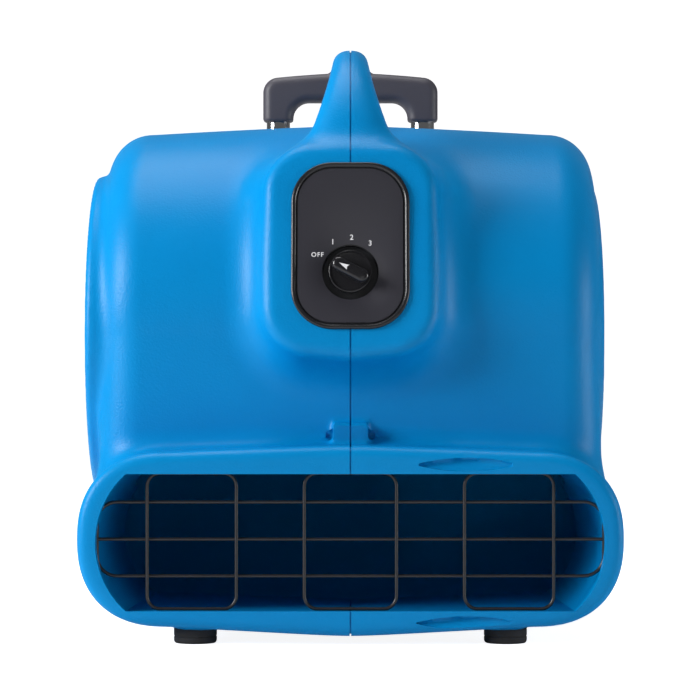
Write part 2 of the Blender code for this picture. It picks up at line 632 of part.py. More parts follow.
def telescopic_handle():
    """The black grip on two chromed tubes that slide in tubes fixed to the housing's back."""
    corner, leg_out, leg_in = 0.012, 0.0830, 0.0544
    shoulder, under, foot = 0.4835, 0.4734, 0.4550
    right = np.concatenate([
        [(leg_in, foot), (leg_out, foot)], arc((leg_out - corner, shoulder), corner, 0, 85, 4),
        [(0.020, 0.5013)]])
    inner = arc((leg_in - 0.0150, under - 0.0150), 0.0150, 0, 90, 3)
    right = np.concatenate([inner[::-1], right])
    outline = np.concatenate([right, right[::-1] * (-1, 1)])
    grip = solid("telescopic_grip", prism(outline, FRONT + GRIP_FRONT, FRONT + GRIP_BACK, axis=1), BLACK)
    bevel = grip.modifiers.new("rounded edges", "BEVEL")
    bevel.width, bevel.segments, bevel.limit_method = 0.0055, 1, "ANGLE"
    bevel.angle_limit = math.radians(50)
    middle = FRONT + TUBE_DEPTH
    surround = helper("button_surround", prism(rounded_rectangle(
        (-0.0195, middle - 0.011), (0.0195, middle + 0.011), 0.004, 0.004, 2), 0.495, 0.5035))
    combine(grip, [surround], "UNION")
    cut = [helper("button_pocket", prism(rounded_rectangle(
        (-0.0153, middle - 0.0073), (0.0153, middle + 0.0073), 0.0033, 0.0033, 2), 0.4880, 0.5100)),
        helper("spring_pocket", round_bar([(0.4790, 0.0052), (0.4900, 0.0052)], 12), (0, middle, 0))]
    solid("release_button", loft([
        np.insert(rounded_rectangle((-0.0150 + inset, -0.0070 + inset), (0.0150 - inset, 0.0070 - inset),
                                    0.003 - inset, 0.003 - inset, 2), 2, height, axis=1)
        for height, inset in ((-0.0080, 0), (0.0035, 0), (0.0045, 0.0010))
    ]), BLACK, (0, middle, 0.5010))
    turns, per_turn, spring_low, spring_high = 4, 7, 0.4800, 0.4922
    around = np.linspace(0, 2 * math.pi * turns, turns * per_turn + 1)
    coil = 0.0040
    path = np.column_stack([coil * np.cos(around), coil * np.sin(around),
                            np.linspace(spring_low, spring_high, len(around))])
    solid("button_spring", helix(path, around, 0.0005), STEEL, (0, middle, 0))
    for side, sign in SIDES.items():
        x = sign * TUBE_SPACING
        cut.append(helper(f"grip_bore_{side}", round_bar([(0.440, 0.01145), (0.4750, 0.01145)], 20), (x, middle, 0)))
        pin_hole = helper(f"pin_hole_{side}", round_bar([(0.004, 0.0028), (0.020, 0.0028)], 12),
                          (x, middle, 0.085), (0, sign * math.pi / 2, 0))
        for name, radius, (low, high) in (
                ("inner_tube", INNER_TUBE, INNER_TUBE_SPAN), ("outer_tube", OUTER_TUBE, OUTER_TUBE_SPAN)):
            wall = [(low, radius - TUBE_WALL), (low, radius), (high, radius), (high, radius - TUBE_WALL)]
            tube = solid(f"{name}_{side}", round_ring(wall, 20), CHROME, (x, middle, 0))
            combine(tube, [pin_hole], "DIFFERENCE")
        bush = [(0.3960, 0.0131), (0.3960, 0.0150), (0.4110, 0.0150), (0.4130, 0.0138), (0.4130, 0.01145),
                (0.4003, 0.01145), (0.4003, 0.0131)]
        solid(f"tube_bush_{side}", round_ring(bush, 16), BLACK, (x, middle, 0))
        solid(f"lock_pin_{side}", round_bar([(-0.004, 0.0025), (0.0100, 0.0025), (0.0110, 0.0015)], 12), STEEL,
              (x, middle, 0.085), (0, sign * math.pi / 2, 0))
    combine(grip, cut, "DIFFERENCE")
    for level, height in BRACKET_HEIGHTS.items():
        tube_bracket(level, height)


def helix(path, around, wire):
    """A coiled wire of four sides along a helix about Z."""
    outward = np.column_stack([np.cos(around), np.sin(around), 0 * around])
    up = np.broadcast_to((0, 0, 1.0), outward.shape)
    corners = ((1, 0), (0, 1), (-1, 0), (0, -1))
    return loft(np.stack([path + wire * (a * outward + b * up) for a, b in corners], axis=1))


def tube_bracket(level, height):
    """A moulded bracket that clamps both outer tubes to the housing's pads."""
    low, high = height - BRACKET_HALF, height + BRACKET_HALF
    face, web = FRONT + PAD_FACE + CLEARANCE, FRONT + 0.4365
    bracket = solid(f"{level}_bracket", block((-0.0837, face, low), (0.0837, web, high)), BLACK)
    added, cut = [], []
    for side, sign in SIDES.items():
        x, middle = sign * TUBE_SPACING, FRONT + TUBE_DEPTH
        added.append(helper(f"{level}_lobe_{side}", round_bar([(low, 0.0150), (high, 0.0150)], 24), (x, middle, 0)))
        added.append(helper(f"{level}_neck_{side}", block(
            (x - 0.0149, web - 0.002, low), (x + 0.0149, middle, high))))
        cut.append(helper(f"{level}_clamp_{side}", round_bar([(low - 0.01, 0.0131), (high + 0.01, 0.0131)], 20),
                          (x, middle, 0)))
        place = (sign * BRACKET_SCREW, web, height)
        cut.append(helper(f"{level}_screw_hole_{side}", round_bar([(-0.02, 0.0025), (0.02, 0.0025)], 12),
                          place, ALONG_Y))
        screw = [(-0.0220, 0.0020), (0.0003, 0.0020), (0.0003, 0.0045), (0.0022, 0.0045), (0.0032, 0.0030)]
        solid(f"{level}_bracket_screw_{side}", round_bar(screw, 8), STEEL, place, ALONG_Y)
    combine(bracket, added, "UNION")
    combine(bracket, cut, "DIFFERENCE")


def wheels():
    """The axle with a rubber-tyred wheel and a push-on cap at each end."""
    axle_at = (0, FRONT + AXLE_DEPTH, AXLE_HEIGHT)
    solid("axle", round_bar([(-0.2207, AXLE_RADIUS), (0.2207, AXLE_RADIUS)], 20), STEEL, axle_at, ALONG_X)
    rim, tyre_in = 0.0397, 0.0400
    hub = [(0.1846, 0.0063), (0.1846, 0.0140), (0.2030, 0.0150), (0.2030, 0.0330), (0.1945, 0.0345),
           (0.1945, rim), (0.2175, rim), (0.2175, 0.0345), (0.2090, 0.0330), (0.2090, 0.0150),
           (0.2190, 0.0140), (0.2190, 0.0063)]
    tyre = [(0.1945, tyre_in), (0.1935, 0.0440), (0.1955, 0.0480), (0.2010, WHEEL_RADIUS),
            (0.2110, WHEEL_RADIUS), (0.2165, 0.0480), (0.2185, 0.0440), (0.2175, tyre_in)]
    cap = [(0.2194, 0.0063), (0.2194, 0.0100), (0.2208, 0.0095), (0.2220, 0.0070), (0.2220, 0.0010),
           (0.2212, 0.0010), (0.2212, 0.0063)]
    for side, sign in SIDES.items():
        turn = (0, sign * math.pi / 2, 0)
        solid(f"wheel_{side}", round_ring(hub, 20), BLACK, axle_at, turn)
        solid(f"tyre_{side}", round_ring(tyre, 20), RUBBER, axle_at, turn)
        solid(f"axle_cap_{side}", round_ring(cap, 12), STEEL, axle_at, turn)


def feet():
    """Four rubber feet under the outlet and the scroll."""
    profile = [(0, FOOT_RADIUS - 0.0025), (0.0025, FOOT_RADIUS), (FOOT_HEIGHT, FOOT_RADIUS)]
    for end, depth in FOOT_DEPTHS.items():
        for side, sign in SIDES.items():
            solid(f"{end}_foot_{side}", round_bar(profile, 20), RUBBER, (sign * FOOT_SIDE, FRONT + depth, 0))


def fasteners():
    """The screws that pull the housing halves together across the seam."""
    profile = [(-0.0120, 0.0025), (0.0101, 0.0025), (0.0101, 0.0046), (0.0125, 0.0046), (0.0137, 0.0032)]
    for name, (depth, height) in SEAM_SCREWS.items():
        solid(f"seam_screw_{name}", round_bar(profile, 8), STEEL, (0, FRONT + depth, height), ALONG_X)


def cord_gland():
    """The gland where the power cord enters the housing's back."""
    profile = [(-0.0100, 0.0040), (-0.0100, 0.0064), (0.0012, 0.0064), (0.0012, 0.0110), (0.0080, 0.0105),
               (0.0200, 0.0065), (0.0200, 0.0040)]
    at, turn = gland_place()
    solid("cord_gland", round_ring(profile, 16), BLACK, at, turn)


housing()
control_panel()
speed_knob()
capacitor()
inlets()
fan()
motor()
outlet_guard()
telescopic_handle()
wheels()
feet()
fasteners()
cord_gland()
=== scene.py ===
import math

import bmesh
import bpy
import numpy as np
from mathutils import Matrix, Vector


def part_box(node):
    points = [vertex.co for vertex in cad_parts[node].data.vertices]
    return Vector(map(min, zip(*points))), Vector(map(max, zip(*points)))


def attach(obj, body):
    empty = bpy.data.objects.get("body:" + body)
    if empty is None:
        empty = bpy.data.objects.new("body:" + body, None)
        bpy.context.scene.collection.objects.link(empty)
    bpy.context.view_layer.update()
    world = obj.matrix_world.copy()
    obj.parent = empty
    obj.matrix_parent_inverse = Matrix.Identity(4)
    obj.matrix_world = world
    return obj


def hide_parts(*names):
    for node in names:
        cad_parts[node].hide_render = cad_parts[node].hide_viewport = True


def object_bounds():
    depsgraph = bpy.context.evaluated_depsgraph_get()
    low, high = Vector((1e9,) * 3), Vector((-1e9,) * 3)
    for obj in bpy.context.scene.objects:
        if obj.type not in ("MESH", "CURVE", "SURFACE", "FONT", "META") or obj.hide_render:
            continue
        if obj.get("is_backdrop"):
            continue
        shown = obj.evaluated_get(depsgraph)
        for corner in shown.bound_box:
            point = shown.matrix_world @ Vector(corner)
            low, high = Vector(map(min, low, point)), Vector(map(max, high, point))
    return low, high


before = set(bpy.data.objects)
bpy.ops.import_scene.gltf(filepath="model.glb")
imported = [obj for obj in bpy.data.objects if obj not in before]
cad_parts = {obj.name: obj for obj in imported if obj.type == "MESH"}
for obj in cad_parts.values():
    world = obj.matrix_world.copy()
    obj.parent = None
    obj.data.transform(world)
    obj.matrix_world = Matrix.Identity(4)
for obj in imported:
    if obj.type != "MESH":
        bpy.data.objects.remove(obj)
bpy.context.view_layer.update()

# ---------------------------------------------------------------------------------------------------
# Studio: a seamless pale sweep in a white room, a large soft key from the upper left, weaker fills from
# the right, the top and low in front, and a long lens level with the middle of the machine.
# ---------------------------------------------------------------------------------------------------
RIM_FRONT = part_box("housing_left")[0][1]
EYE_HEIGHT, EYE_DISTANCE = 0.2377, 2.400
LENS, SENSOR, SIDE_SHIFT = 153.7, 36, -0.0006
SWEEP_HALF, SWEEP_BACK, SWEEP_BEND = 6.0, 5.0, 2.0
PAPER_GLOW = 0.90
ROOM_LIGHT, ROOM_SEEN = 0.10, 1.0


def shaded(mesh, crease):
    """Smooth shading, with edges that bend more than crease degrees kept sharp."""
    mesh.shade_smooth()
    mesh.set_sharp_from_angle(angle=math.radians(crease))


def put_mesh(name, points, faces, material, crease=35):
    """Makes a mesh object at the origin from point and face arrays."""
    mesh = bpy.data.meshes.new(name)
    faces = np.asarray(faces)
    mesh.vertices.add(len(points))
    mesh.vertices.foreach_set("co", np.asarray(points, np.float32).ravel())
    mesh.loops.add(faces.size)
    mesh.loops.foreach_set("vertex_index", faces.astype(np.int32).ravel())
    mesh.polygons.add(len(faces))
    mesh.polygons.foreach_set("loop_start", np.arange(0, faces.size, faces.shape[1], dtype=np.int32))
    mesh.update(calc_edges=True)
    mesh.validate()
    shaded(mesh, crease)
    mesh.materials.append(material)
    made = bpy.data.objects.new(name, mesh)
    bpy.context.collection.objects.link(made)
    return made


def grid_faces(rows, columns, wrap_rows=False, wrap_columns=False):
    """Quads between neighbouring points of a rows by columns grid, closed round either way if asked."""
    row = np.arange(rows if wrap_rows else rows - 1)[:, None]
    column = np.arange(columns if wrap_columns else columns - 1)[None, :]
    below, beside = (row + 1) % rows, (column + 1) % columns
    corners = (row * columns + column, row * columns + beside, below * columns + beside, below * columns + column)
    return np.stack([np.broadcast_to(corner, (row.size, column.size)) for corner in corners], -1).reshape(-1, 4)


def plain_finish(name, colour, roughness, metallic=0.0):
    """A Principled finish whose even values sit on the shader's own sockets; returns the material with its
    nodes, links and shader."""
    material = bpy.data.materials.new(name)
    material.use_nodes = True
    nodes, links = material.node_tree.nodes, material.node_tree.links
    shader = nodes["Principled BSDF"]
    shader.inputs["Base Color"].default_value = (*colour, 1)
    shader.inputs["Roughness"].default_value = roughness
    shader.inputs["Metallic"].default_value = metallic
    return material, nodes, links, shader


def studio_sweep():
    """A floor that bends up into a back wall: flat, then a quarter circle, then straight up."""
    bend = np.linspace(0, math.pi / 2, 24)
    along = np.concatenate([[-SWEEP_HALF], SWEEP_BACK + SWEEP_BEND * np.sin(bend), [SWEEP_BACK + SWEEP_BEND]])
    up = np.concatenate([[0], SWEEP_BEND * (1 - np.cos(bend)), [SWEEP_HALF]])
    side = np.array([-SWEEP_HALF, SWEEP_HALF])
    points = np.stack([np.broadcast_to(side[None, :], (len(up), 2)),
                       np.broadcast_to(along[:, None], (len(up), 2)),
                       np.broadcast_to(up[:, None], (len(up), 2))], -1).reshape(-1, 3)
    material, nodes, links, shader = plain_finish("studio paper", (0.86, 0.86, 0.87), 0.9)
    shader.inputs["Emission Color"].default_value = (1, 1, 1, 1)
    glow = nodes.new("ShaderNodeLightPath")
    amount = nodes.new("ShaderNodeMath")
    amount.operation = "MULTIPLY"
    amount.inputs[1].default_value = PAPER_GLOW
    links.new(glow.outputs["Is Camera Ray"], amount.inputs[0])
    links.new(amount.outputs["Value"], shader.inputs["Emission Strength"])
    put_mesh("studio_sweep", points, grid_faces(len(up), 2), material)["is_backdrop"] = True


def soft_light(name, place, target, size, power):
    """A square area light that faces a point."""
    lamp = bpy.data.lights.new(name, "AREA")
    lamp.size, lamp.energy = size, power
    made = bpy.data.objects.new(name, lamp)
    made.location = place
    aim = np.asarray(target, float) - place
    made.rotation_euler = (math.atan2(math.hypot(aim[0], aim[1]), -aim[2]), 0, math.atan2(-aim[0], aim[1]))
    bpy.context.collection.objects.link(made)


studio_sweep()
middle = (0, 0, 0.25)
soft_light("key", (-2.5, -1.1, 1.2), middle, 1.2, 96)
soft_light("fill", (2.6, -0.6, 0.45), middle, 1.2, 30)
soft_light("top", (-0.3, 0.2, 2.4), middle, 1.4, 30)
soft_light("low front", (0.3, -2.7, 0.5), (0, 0, 0.05), 0.8, 2)
world = bpy.data.worlds.new("white room")
world.use_nodes = True
room, room_links = world.node_tree.nodes, world.node_tree.links
room["Background"].inputs["Color"].default_value = (1, 1, 1, 1)
seen = room.new("ShaderNodeLightPath")
walls = room.new("ShaderNodeMapRange")
walls.inputs["To Min"].default_value, walls.inputs["To Max"].default_value = ROOM_LIGHT, ROOM_SEEN
room_links.new(seen.outputs["Is Camera Ray"], walls.inputs["Value"])
room_links.new(walls.outputs["Result"], room["Background"].inputs["Strength"])
bpy.context.scene.world = world
bpy.context.scene.view_settings.view_transform = "Standard"
lens = bpy.data.cameras.new("camera")
lens.lens, lens.sensor_width, lens.shift_x = LENS, SENSOR, SIDE_SHIFT
camera = bpy.data.objects.new("camera", lens)
camera.location = (0, RIM_FRONT - EYE_DISTANCE, EYE_HEIGHT)
camera.rotation_euler = (math.pi / 2, 0, 0)
bpy.context.collection.objects.link(camera)
bpy.context.scene.camera = camera

# ---------------------------------------------------------------------------------------------------
# Housing: two moulded halves of blue plastic with a fine grain, screwed together at the middle seam.
# The scroll, outlet rim, panel pod, carry handle and inlet collars run into each other in soft blends,
# so each half is the skin of one distance field: a point's value is its distance out of the plastic.
# ---------------------------------------------------------------------------------------------------
SHAFT_AT = (np.array(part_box("motor_stator")[0]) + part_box("motor_stator")[1]) / 2
SHAFT_DEPTH, SHAFT_HEIGHT = SHAFT_AT[1] - RIM_FRONT, SHAFT_AT[2]
SPIRAL_START, SPIRAL_GROWTH = 0.1615, 0.0796
BODY_HALF, BODY_CORNER, BODY_DRAFT = 0.2100, 0.035, math.tan(math.radians(2))
DRUM_CROWN = 0.0022
WALL = 0.0040
RIM_ARC_CENTRE, RIM_REACH, RIM_MIDDLE, RIM_RISE, RIM_POWER = 0.1495, 0.072, 0.085, 0.0705, 2.35
RIM_EDGE, RIM_NARROWING = 0.0085, 0.013
CROWN_TOP, CROWN_BOTTOM = 0.0059, 0.0085
OPENING_CORNER, OPENING_HALF, OPENING_LOW, OPENING_HIGH = 0.1806, 0.2052, 0.0277, 0.1380
PANEL_TILT = math.radians(12)
KNOB_DEPTH, KNOB_HEIGHT = 0.0509, 0.3014
SEAM_HALF = 0.0006
CELL = 0.0037
INLET_RADIUS = 0.1163
RIM_BACK, RIM_BACK_CORNER, RIM_TAPER = 0.215, 0.030, 0.002
SPIRAL_SQUARENESS, RIM_DEPTH = 5, 0.2
COLLAR_EDGES, COLLAR_FACES, COLLAR_CORNER, COLLAR_ROOT = (0.140, 0.130), (0.222, 0.212), 0.0055, 0.19
POD_HALF, POD_LOW, POD_HIGH, POD_CORNERS = 0.0715, -0.069, 0.108, (0.040, 0.038)
POD_EDGE, POD_ROOT, POD_DRAFT = 0.009, 0.085, 0.10
KEEL_DROP, KEEL_HALF, KEEL_RUN = 0.0035, 0.034, 0.04
POCKET, POCKET_FRONT, POCKET_BACK = (0.058, -0.058, 0.096, 0.020, 0.030), 0.0052, -0.070
PANEL_HOLE, PANEL_HOLE_BACK = (0.0463, -0.0452, 0.0904, 0.0316, 0.0316), -0.010
LUG_AT, LUG_HALF, LUG_LOW, LUG_FRONT, LUG_BACK = 0.174, 0.010, 0.042, 0.335, 0.429
AXLE_DEPTH, AXLE_HEIGHT, AXLE_BORE, AXLE_BORE_REACH = 0.415, 0.056, 0.0063, 0.20
FOOT_SIDE, POST_RADIUS, POST_LOW = 0.126, 0.0187, 0.0123
FOOT_POSTS = ((0.030, 0.0245), (0.330, 0.062))
SMALL_BLOCKS = (
    # low and high corners of the seam screws' bosses, then of the bracket pads
    ((-0.0145, 0.054, 0.1585), (0.0145, 0.080, 0.1775)),
    ((-0.0145, 0.424, 0.216), (0.0145, 0.448, 0.234)),
    ((-0.0145, 0.170, 0.007), (0.0145, 0.196, 0.021)),
    ((0.022, 0.365, 0.330), (0.082, 0.425, 0.360)),
    ((0.022, 0.365, 0.090), (0.082, 0.425, 0.120)),
)
SEAM_SCREWS = ((0.064, 0.168), (0.436, 0.225), (0.180, 0.014), (0.215, 0.4835))
SCREW_BORE, SCREW_HEAD, SCREW_SEAT, SCREW_REACH = 0.0029, 0.0052, 0.0098, 0.0205
CUTOFF_ANGLE = math.radians(-50)
DENT_HEIGHTS, DENT_AT, DENT_HALF, DENT_RISE = (0.1456, 0.0183), 0.0940, 0.0430, 0.0056
DENT_SHALLOW, DENT_DEEP = 0.0012, 0.0050


def smooth_union(first, second, blend):
    """The nearer of two distances, with a round fillet of about the blend width where they are alike."""
    share = np.clip(0.5 + 0.5 * (second - first) / blend, 0, 1)
    return second + (first - second) * share - blend * share * (1 - share)


def rounded_pair(first, second, corner):
    """The inside of both limits, with their common edge rounded to the corner radius."""
    a, b = first + corner, second + corner
    return np.minimum(np.maximum(a, b), 0) + np.hypot(np.maximum(a, 0), np.maximum(b, 0)) - corner


def rounded_box(point, low, high, corner):
    """Distance to a box with rounded edges."""
    centre, half = (np.array(low) + high) / 2, (np.array(high) - low) / 2
    away = [np.abs(p - c) - h + corner for p, c, h in zip(point, centre, half)]
    outside = np.sqrt(sum(np.maximum(a, 0) ** 2 for a in away))
    return outside + np.minimum(np.maximum(np.maximum(away[0], away[1]), away[2]), 0) - corner


def scroll_field(x, depth, z, half, corner, inset):
    """A logarithmic spiral about the shaft up to the bottom, then a soft corner, with drafted, rounded sides."""
    ahead, up = SHAFT_DEPTH - depth, z - SHAFT_HEIGHT
    angle = np.mod(np.arctan2(up, ahead), 2 * math.pi)
    reach = np.hypot(ahead, up)
    bottom = SPIRAL_START * math.exp(SPIRAL_GROWTH * 1.5 * math.pi)
    spiral = SPIRAL_START * np.exp(SPIRAL_GROWTH * angle)
    power = SPIRAL_SQUARENESS
    soft = (np.abs(np.cos(angle)) / SPIRAL_START) ** power + (np.abs(np.sin(angle)) / bottom) ** power
    soft = soft ** (-1 / power)
    radius = np.where(angle > 1.5 * math.pi, soft, spiral) - inset
    return rounded_pair(reach - radius + BODY_DRAFT * np.sqrt(x * x + 1e-4), np.abs(x) - half, corner)


def rim_field(x, depth, z):
    """The outlet rim: crowned top and bottom, superelliptic ends and a rounded front edge."""
    side = np.sqrt(x * x + 4e-4)
    share = 1 - np.minimum(side / RIM_ARC_CENTRE, 1)
    rise = RIM_RISE + np.where(z > RIM_MIDDLE, CROWN_TOP, CROWN_BOTTOM) * share
    up = np.abs(z - RIM_MIDDLE) / rise
    back = np.clip(depth / RIM_DEPTH, 0, 1)
    out = np.maximum(side - RIM_ARC_CENTRE, 0) / (RIM_REACH - RIM_NARROWING * back**2)
    around = ((up**RIM_POWER + out**RIM_POWER) ** (1 / RIM_POWER) - 1) * RIM_RISE
    front = rounded_pair(around + RIM_TAPER * back, -depth, RIM_EDGE)
    return rounded_pair(front, depth - RIM_BACK, RIM_BACK_CORNER)


def panel_axes(x, depth, z):
    """Position along the control panel's width, height and outward normal, from the knob's axis."""
    back, up = depth - KNOB_DEPTH, z - KNOB_HEIGHT
    return x, back * math.sin(PANEL_TILT) + up * math.cos(PANEL_TILT), \
        up * math.sin(PANEL_TILT) - back * math.cos(PANEL_TILT)


def rounded_outline(x, y, half, low, high, radius_low, radius_high):
    """Flat distance to a rectangle with rounded corners."""
    middle, rise = (low + high) / 2, (high - low) / 2
    radius = np.where(y > middle, radius_high, radius_low)
    return rounded_pair(np.abs(x) - half, np.abs(y - middle) - rise, radius)


def pod_field(x, depth, z):
    """The panel pod: a rounded rectangle pushed out along the panel's normal, drafted, with a keel below."""
    u, v, n = panel_axes(x, depth, z)
    flare = np.clip(-n, 0, 0.08) * POD_DRAFT
    keel = KEEL_DROP * np.clip(1 - np.abs(u) / KEEL_HALF, 0, 1) * np.clip(-v / KEEL_RUN, 0, 1)
    outline = rounded_outline(u, v + keel, POD_HALF, POD_LOW, POD_HIGH, *POD_CORNERS) - flare
    return np.maximum(rounded_pair(outline, n, POD_EDGE), -n - POD_ROOT)


HANDLE_STATIONS = np.array([
    # depth, height, half width, half thickness
    (0.104, 0.376, 0.050, 0.022),
    (0.104, 0.404, 0.0395, 0.020),
    (0.112, 0.432, 0.0285, 0.018),
    (0.131, 0.459, 0.0200, 0.0155),
    (0.163, 0.4785, 0.0158, 0.0142),
    (0.200, 0.4835, 0.0153, 0.0138),
    (0.250, 0.4825, 0.0153, 0.0138),
    (0.298, 0.474, 0.0160, 0.0140),
    (0.334, 0.452, 0.0190, 0.0150),
    (0.357, 0.418, 0.0230, 0.0170),
    (0.372, 0.380, 0.0300, 0.0190),
])


def smooth_stations(stations, per_span):
    """More stations on a Catmull-Rom curve through the given ones."""
    before = np.vstack([2 * stations[0] - stations[1], stations[:-2]])
    start, end = stations[:-1], stations[1:]
    after = np.vstack([stations[2:], 2 * stations[-1] - stations[-2]])
    t = np.linspace(0, 1, per_span, endpoint=False)[:, None, None]
    curve = 0.5 * (2 * start + (end - before) * t + (2 * before - 5 * start + 4 * end - after) * t**2
                   + (3 * start - before - 3 * end + after) * t**3)
    return np.vstack([curve.transpose(1, 0, 2).reshape(-1, stations.shape[1]), stations[-1:]])


HANDLE_CURVE = smooth_stations(HANDLE_STATIONS, 6)


def handle_field(x, depth, z):
    """The carry handle: an oval section carried along its arch, wide at both roots."""
    value = np.full(x.shape, 0.05)
    near = (z > 0.36) & (depth > 0.06) & (depth < 0.42) & (np.abs(x) < 0.09)
    px, pd, pz = x[near], depth[near], z[near]
    best = np.full(px.shape, 1.0)
    width = np.ones_like(best)
    thick = np.ones_like(best)
    for start, end in zip(HANDLE_CURVE[:-1], HANDLE_CURVE[1:]):
        run = end[:2] - start[:2]
        share = np.clip(((pd - start[0]) * run[0] + (pz - start[1]) * run[1]) / (run @ run), 0, 1)
        gap = np.hypot(pd - start[0] - share * run[0], pz - start[1] - share * run[1])
        closer = gap < best
        best = np.where(closer, gap, best)
        width = np.where(closer, start[2] + share * (end[2] - start[2]), width)
        thick = np.where(closer, start[3] + share * (end[3] - start[3]), thick)
    shape = ((np.abs(px) / width) ** 2.3 + (best / thick) ** 2.3) ** (1 / 2.3)
    value[near] = (shape - 1) * np.minimum(width, thick)
    return value


def plastic_field(x, depth, z):
    """Outside of the whole housing: every moulded-on shape runs into the drum in a soft blend."""
    side = np.abs(x)
    rise = np.clip((z - SHAFT_HEIGHT) / SPIRAL_START, 0, 1) * np.clip(1 - (x / 0.17) ** 2, 0, 1)
    value = scroll_field(x, depth, z, BODY_HALF, BODY_CORNER, 0) - DRUM_CROWN * rise
    value = smooth_union(value, rim_field(x, depth, z), 0.020)
    value = smooth_union(value, pod_field(x, depth, z), 0.032)
    value = smooth_union(value, handle_field(x, depth, z), 0.022)
    reach = np.hypot(depth - SHAFT_DEPTH, z - SHAFT_HEIGHT)
    collar_edge, collar_face = np.where(x < 0, *COLLAR_EDGES), np.where(x < 0, *COLLAR_FACES)
    collar = rounded_pair(reach - collar_edge, side - collar_face, COLLAR_CORNER)
    value = smooth_union(value, np.maximum(collar, COLLAR_ROOT - side), 0.008)
    for low, high in SMALL_BLOCKS:
        value = smooth_union(value, rounded_box((side, depth, z), low, high, 0.0015), 0.005)
    lug_top = (z - 0.072) * 0.80 + (depth - 0.430) * 0.57
    lug = np.maximum.reduce([np.abs(side - LUG_AT) - LUG_HALF, LUG_LOW - z, lug_top, depth - LUG_BACK,
                             LUG_FRONT - depth])
    value = smooth_union(value, lug, 0.004)
    for foot_depth, foot_top in FOOT_POSTS:
        post = np.hypot(side - FOOT_SIDE, depth - foot_depth) - POST_RADIUS
        value = smooth_union(value, np.maximum.reduce([post, POST_LOW - z, z - foot_top]), 0.004)
    return value


def duct_sizes(depth):
    """Half width, corner, floor and roof of the air duct, from its mouth back to under the shaft."""
    share = np.clip((depth - 0.004) / (SHAFT_DEPTH - 0.004), 0, 1)
    ends = np.array([(OPENING_HALF, 0.1985), (OPENING_CORNER, 0.172), (OPENING_LOW, 0.0185), (OPENING_HIGH, 0.134)])
    return [first + (last - first) * share for first, last in ends] + [share]


def duct_ends(x, depth, z):
    """The duct's bowed ends: an arc through the floor's and the roof's corners, bulging to the half width."""
    half, corner, low, high, share = duct_sizes(depth)
    low = low + BODY_DRAFT * corner * share
    chord, bow = (high - low) / 2, half - corner
    radius = (chord**2 + bow**2) / (2 * bow)
    return np.hypot(np.maximum(np.abs(x) - half + radius, 0), z - (high + low) / 2) - radius


def duct_flats(x, depth, z):
    """The duct's floor, which rises a little towards its ends, and its flat roof."""
    _, _, low, high, share = duct_sizes(depth)
    return np.maximum(low + BODY_DRAFT * share * np.abs(x) - z, z - high)


def air_field(x, depth, z):
    """Everything that is cut out: air space, duct, inlets, the panel's pocket and hole, screw and axle holes,
    and the two leaf-shaped dents in the rim's lips."""
    ahead, up = SHAFT_DEPTH - depth, z - SHAFT_HEIGHT
    angle = np.arctan2(up, ahead)
    angle = np.where(angle < -math.radians(90), angle + 2 * math.pi, angle)
    reach = np.hypot(ahead, up)
    spiral = SPIRAL_START * np.exp(SPIRAL_GROWTH * angle)
    wall_reach = reach - spiral + WALL + BODY_DRAFT * np.abs(x)
    cutoff = SPIRAL_START * math.exp(SPIRAL_GROWTH * CUTOFF_ANGLE) - WALL
    tip = np.array([cutoff * math.cos(CUTOFF_ANGLE), cutoff * math.sin(CUTOFF_ANGLE)])
    low_end = np.array([0.0, -(SPIRAL_START * math.exp(SPIRAL_GROWTH * 1.5 * math.pi) - WALL)])
    run = (low_end - tip) / np.linalg.norm(low_end - tip)
    beyond = -(ahead - tip[0]) * run[1] + (up - tip[1]) * run[0]
    inside = np.maximum(wall_reach, beyond)
    value = rounded_pair(inside, np.abs(x) - (BODY_HALF - WALL), BODY_CORNER - WALL)
    duct = np.maximum(duct_ends(x, depth, z), duct_flats(x, depth, z))
    value = np.minimum(value, np.maximum.reduce([duct, depth - SHAFT_DEPTH - 0.002, -0.01 - depth]))
    value = np.minimum(value, reach - INLET_RADIUS)
    u, v, n = panel_axes(x, depth, z)
    shell = scroll_field(x, depth, z, BODY_HALF, BODY_CORNER, 0)
    pocket = rounded_outline(u, v, *POCKET)
    value = np.minimum(value, np.maximum.reduce([pocket, n + POCKET_FRONT, POCKET_BACK - n, -shell]))
    hole = rounded_outline(u, v, *PANEL_HOLE)
    value = np.minimum(value, np.maximum(hole, PANEL_HOLE_BACK - n))
    for screw_depth, screw_height in SEAM_SCREWS:
        away = np.hypot(depth - screw_depth, z - screw_height)
        value = np.minimum(value, np.maximum(away - SCREW_BORE, np.abs(x) - 0.02))
        seat = np.maximum(SCREW_SEAT - np.abs(x), np.abs(x) - SCREW_REACH)
        value = np.minimum(value, np.maximum(away - SCREW_HEAD, seat))
    axle = np.maximum(np.hypot(depth - AXLE_DEPTH, z - AXLE_HEIGHT) - AXLE_BORE, np.abs(x) - AXLE_BORE_REACH)
    value = np.minimum(value, axle)
    dent_radius = (DENT_HALF**2 + DENT_RISE**2) / (2 * DENT_RISE)
    for dent_height in DENT_HEIGHTS:
        along, up = x - DENT_AT, z - dent_height
        eye = np.hypot(along, np.abs(up) + dent_radius - DENT_RISE) - dent_radius
        tilt = np.clip(0.5 + up / (2 * DENT_RISE), 0, 1) * np.clip(1 - (along + 0.012) / 0.055, 0, 1)
        value = np.minimum(value, np.maximum(eye, depth - DENT_SHALLOW - DENT_DEEP * tilt))
    return value


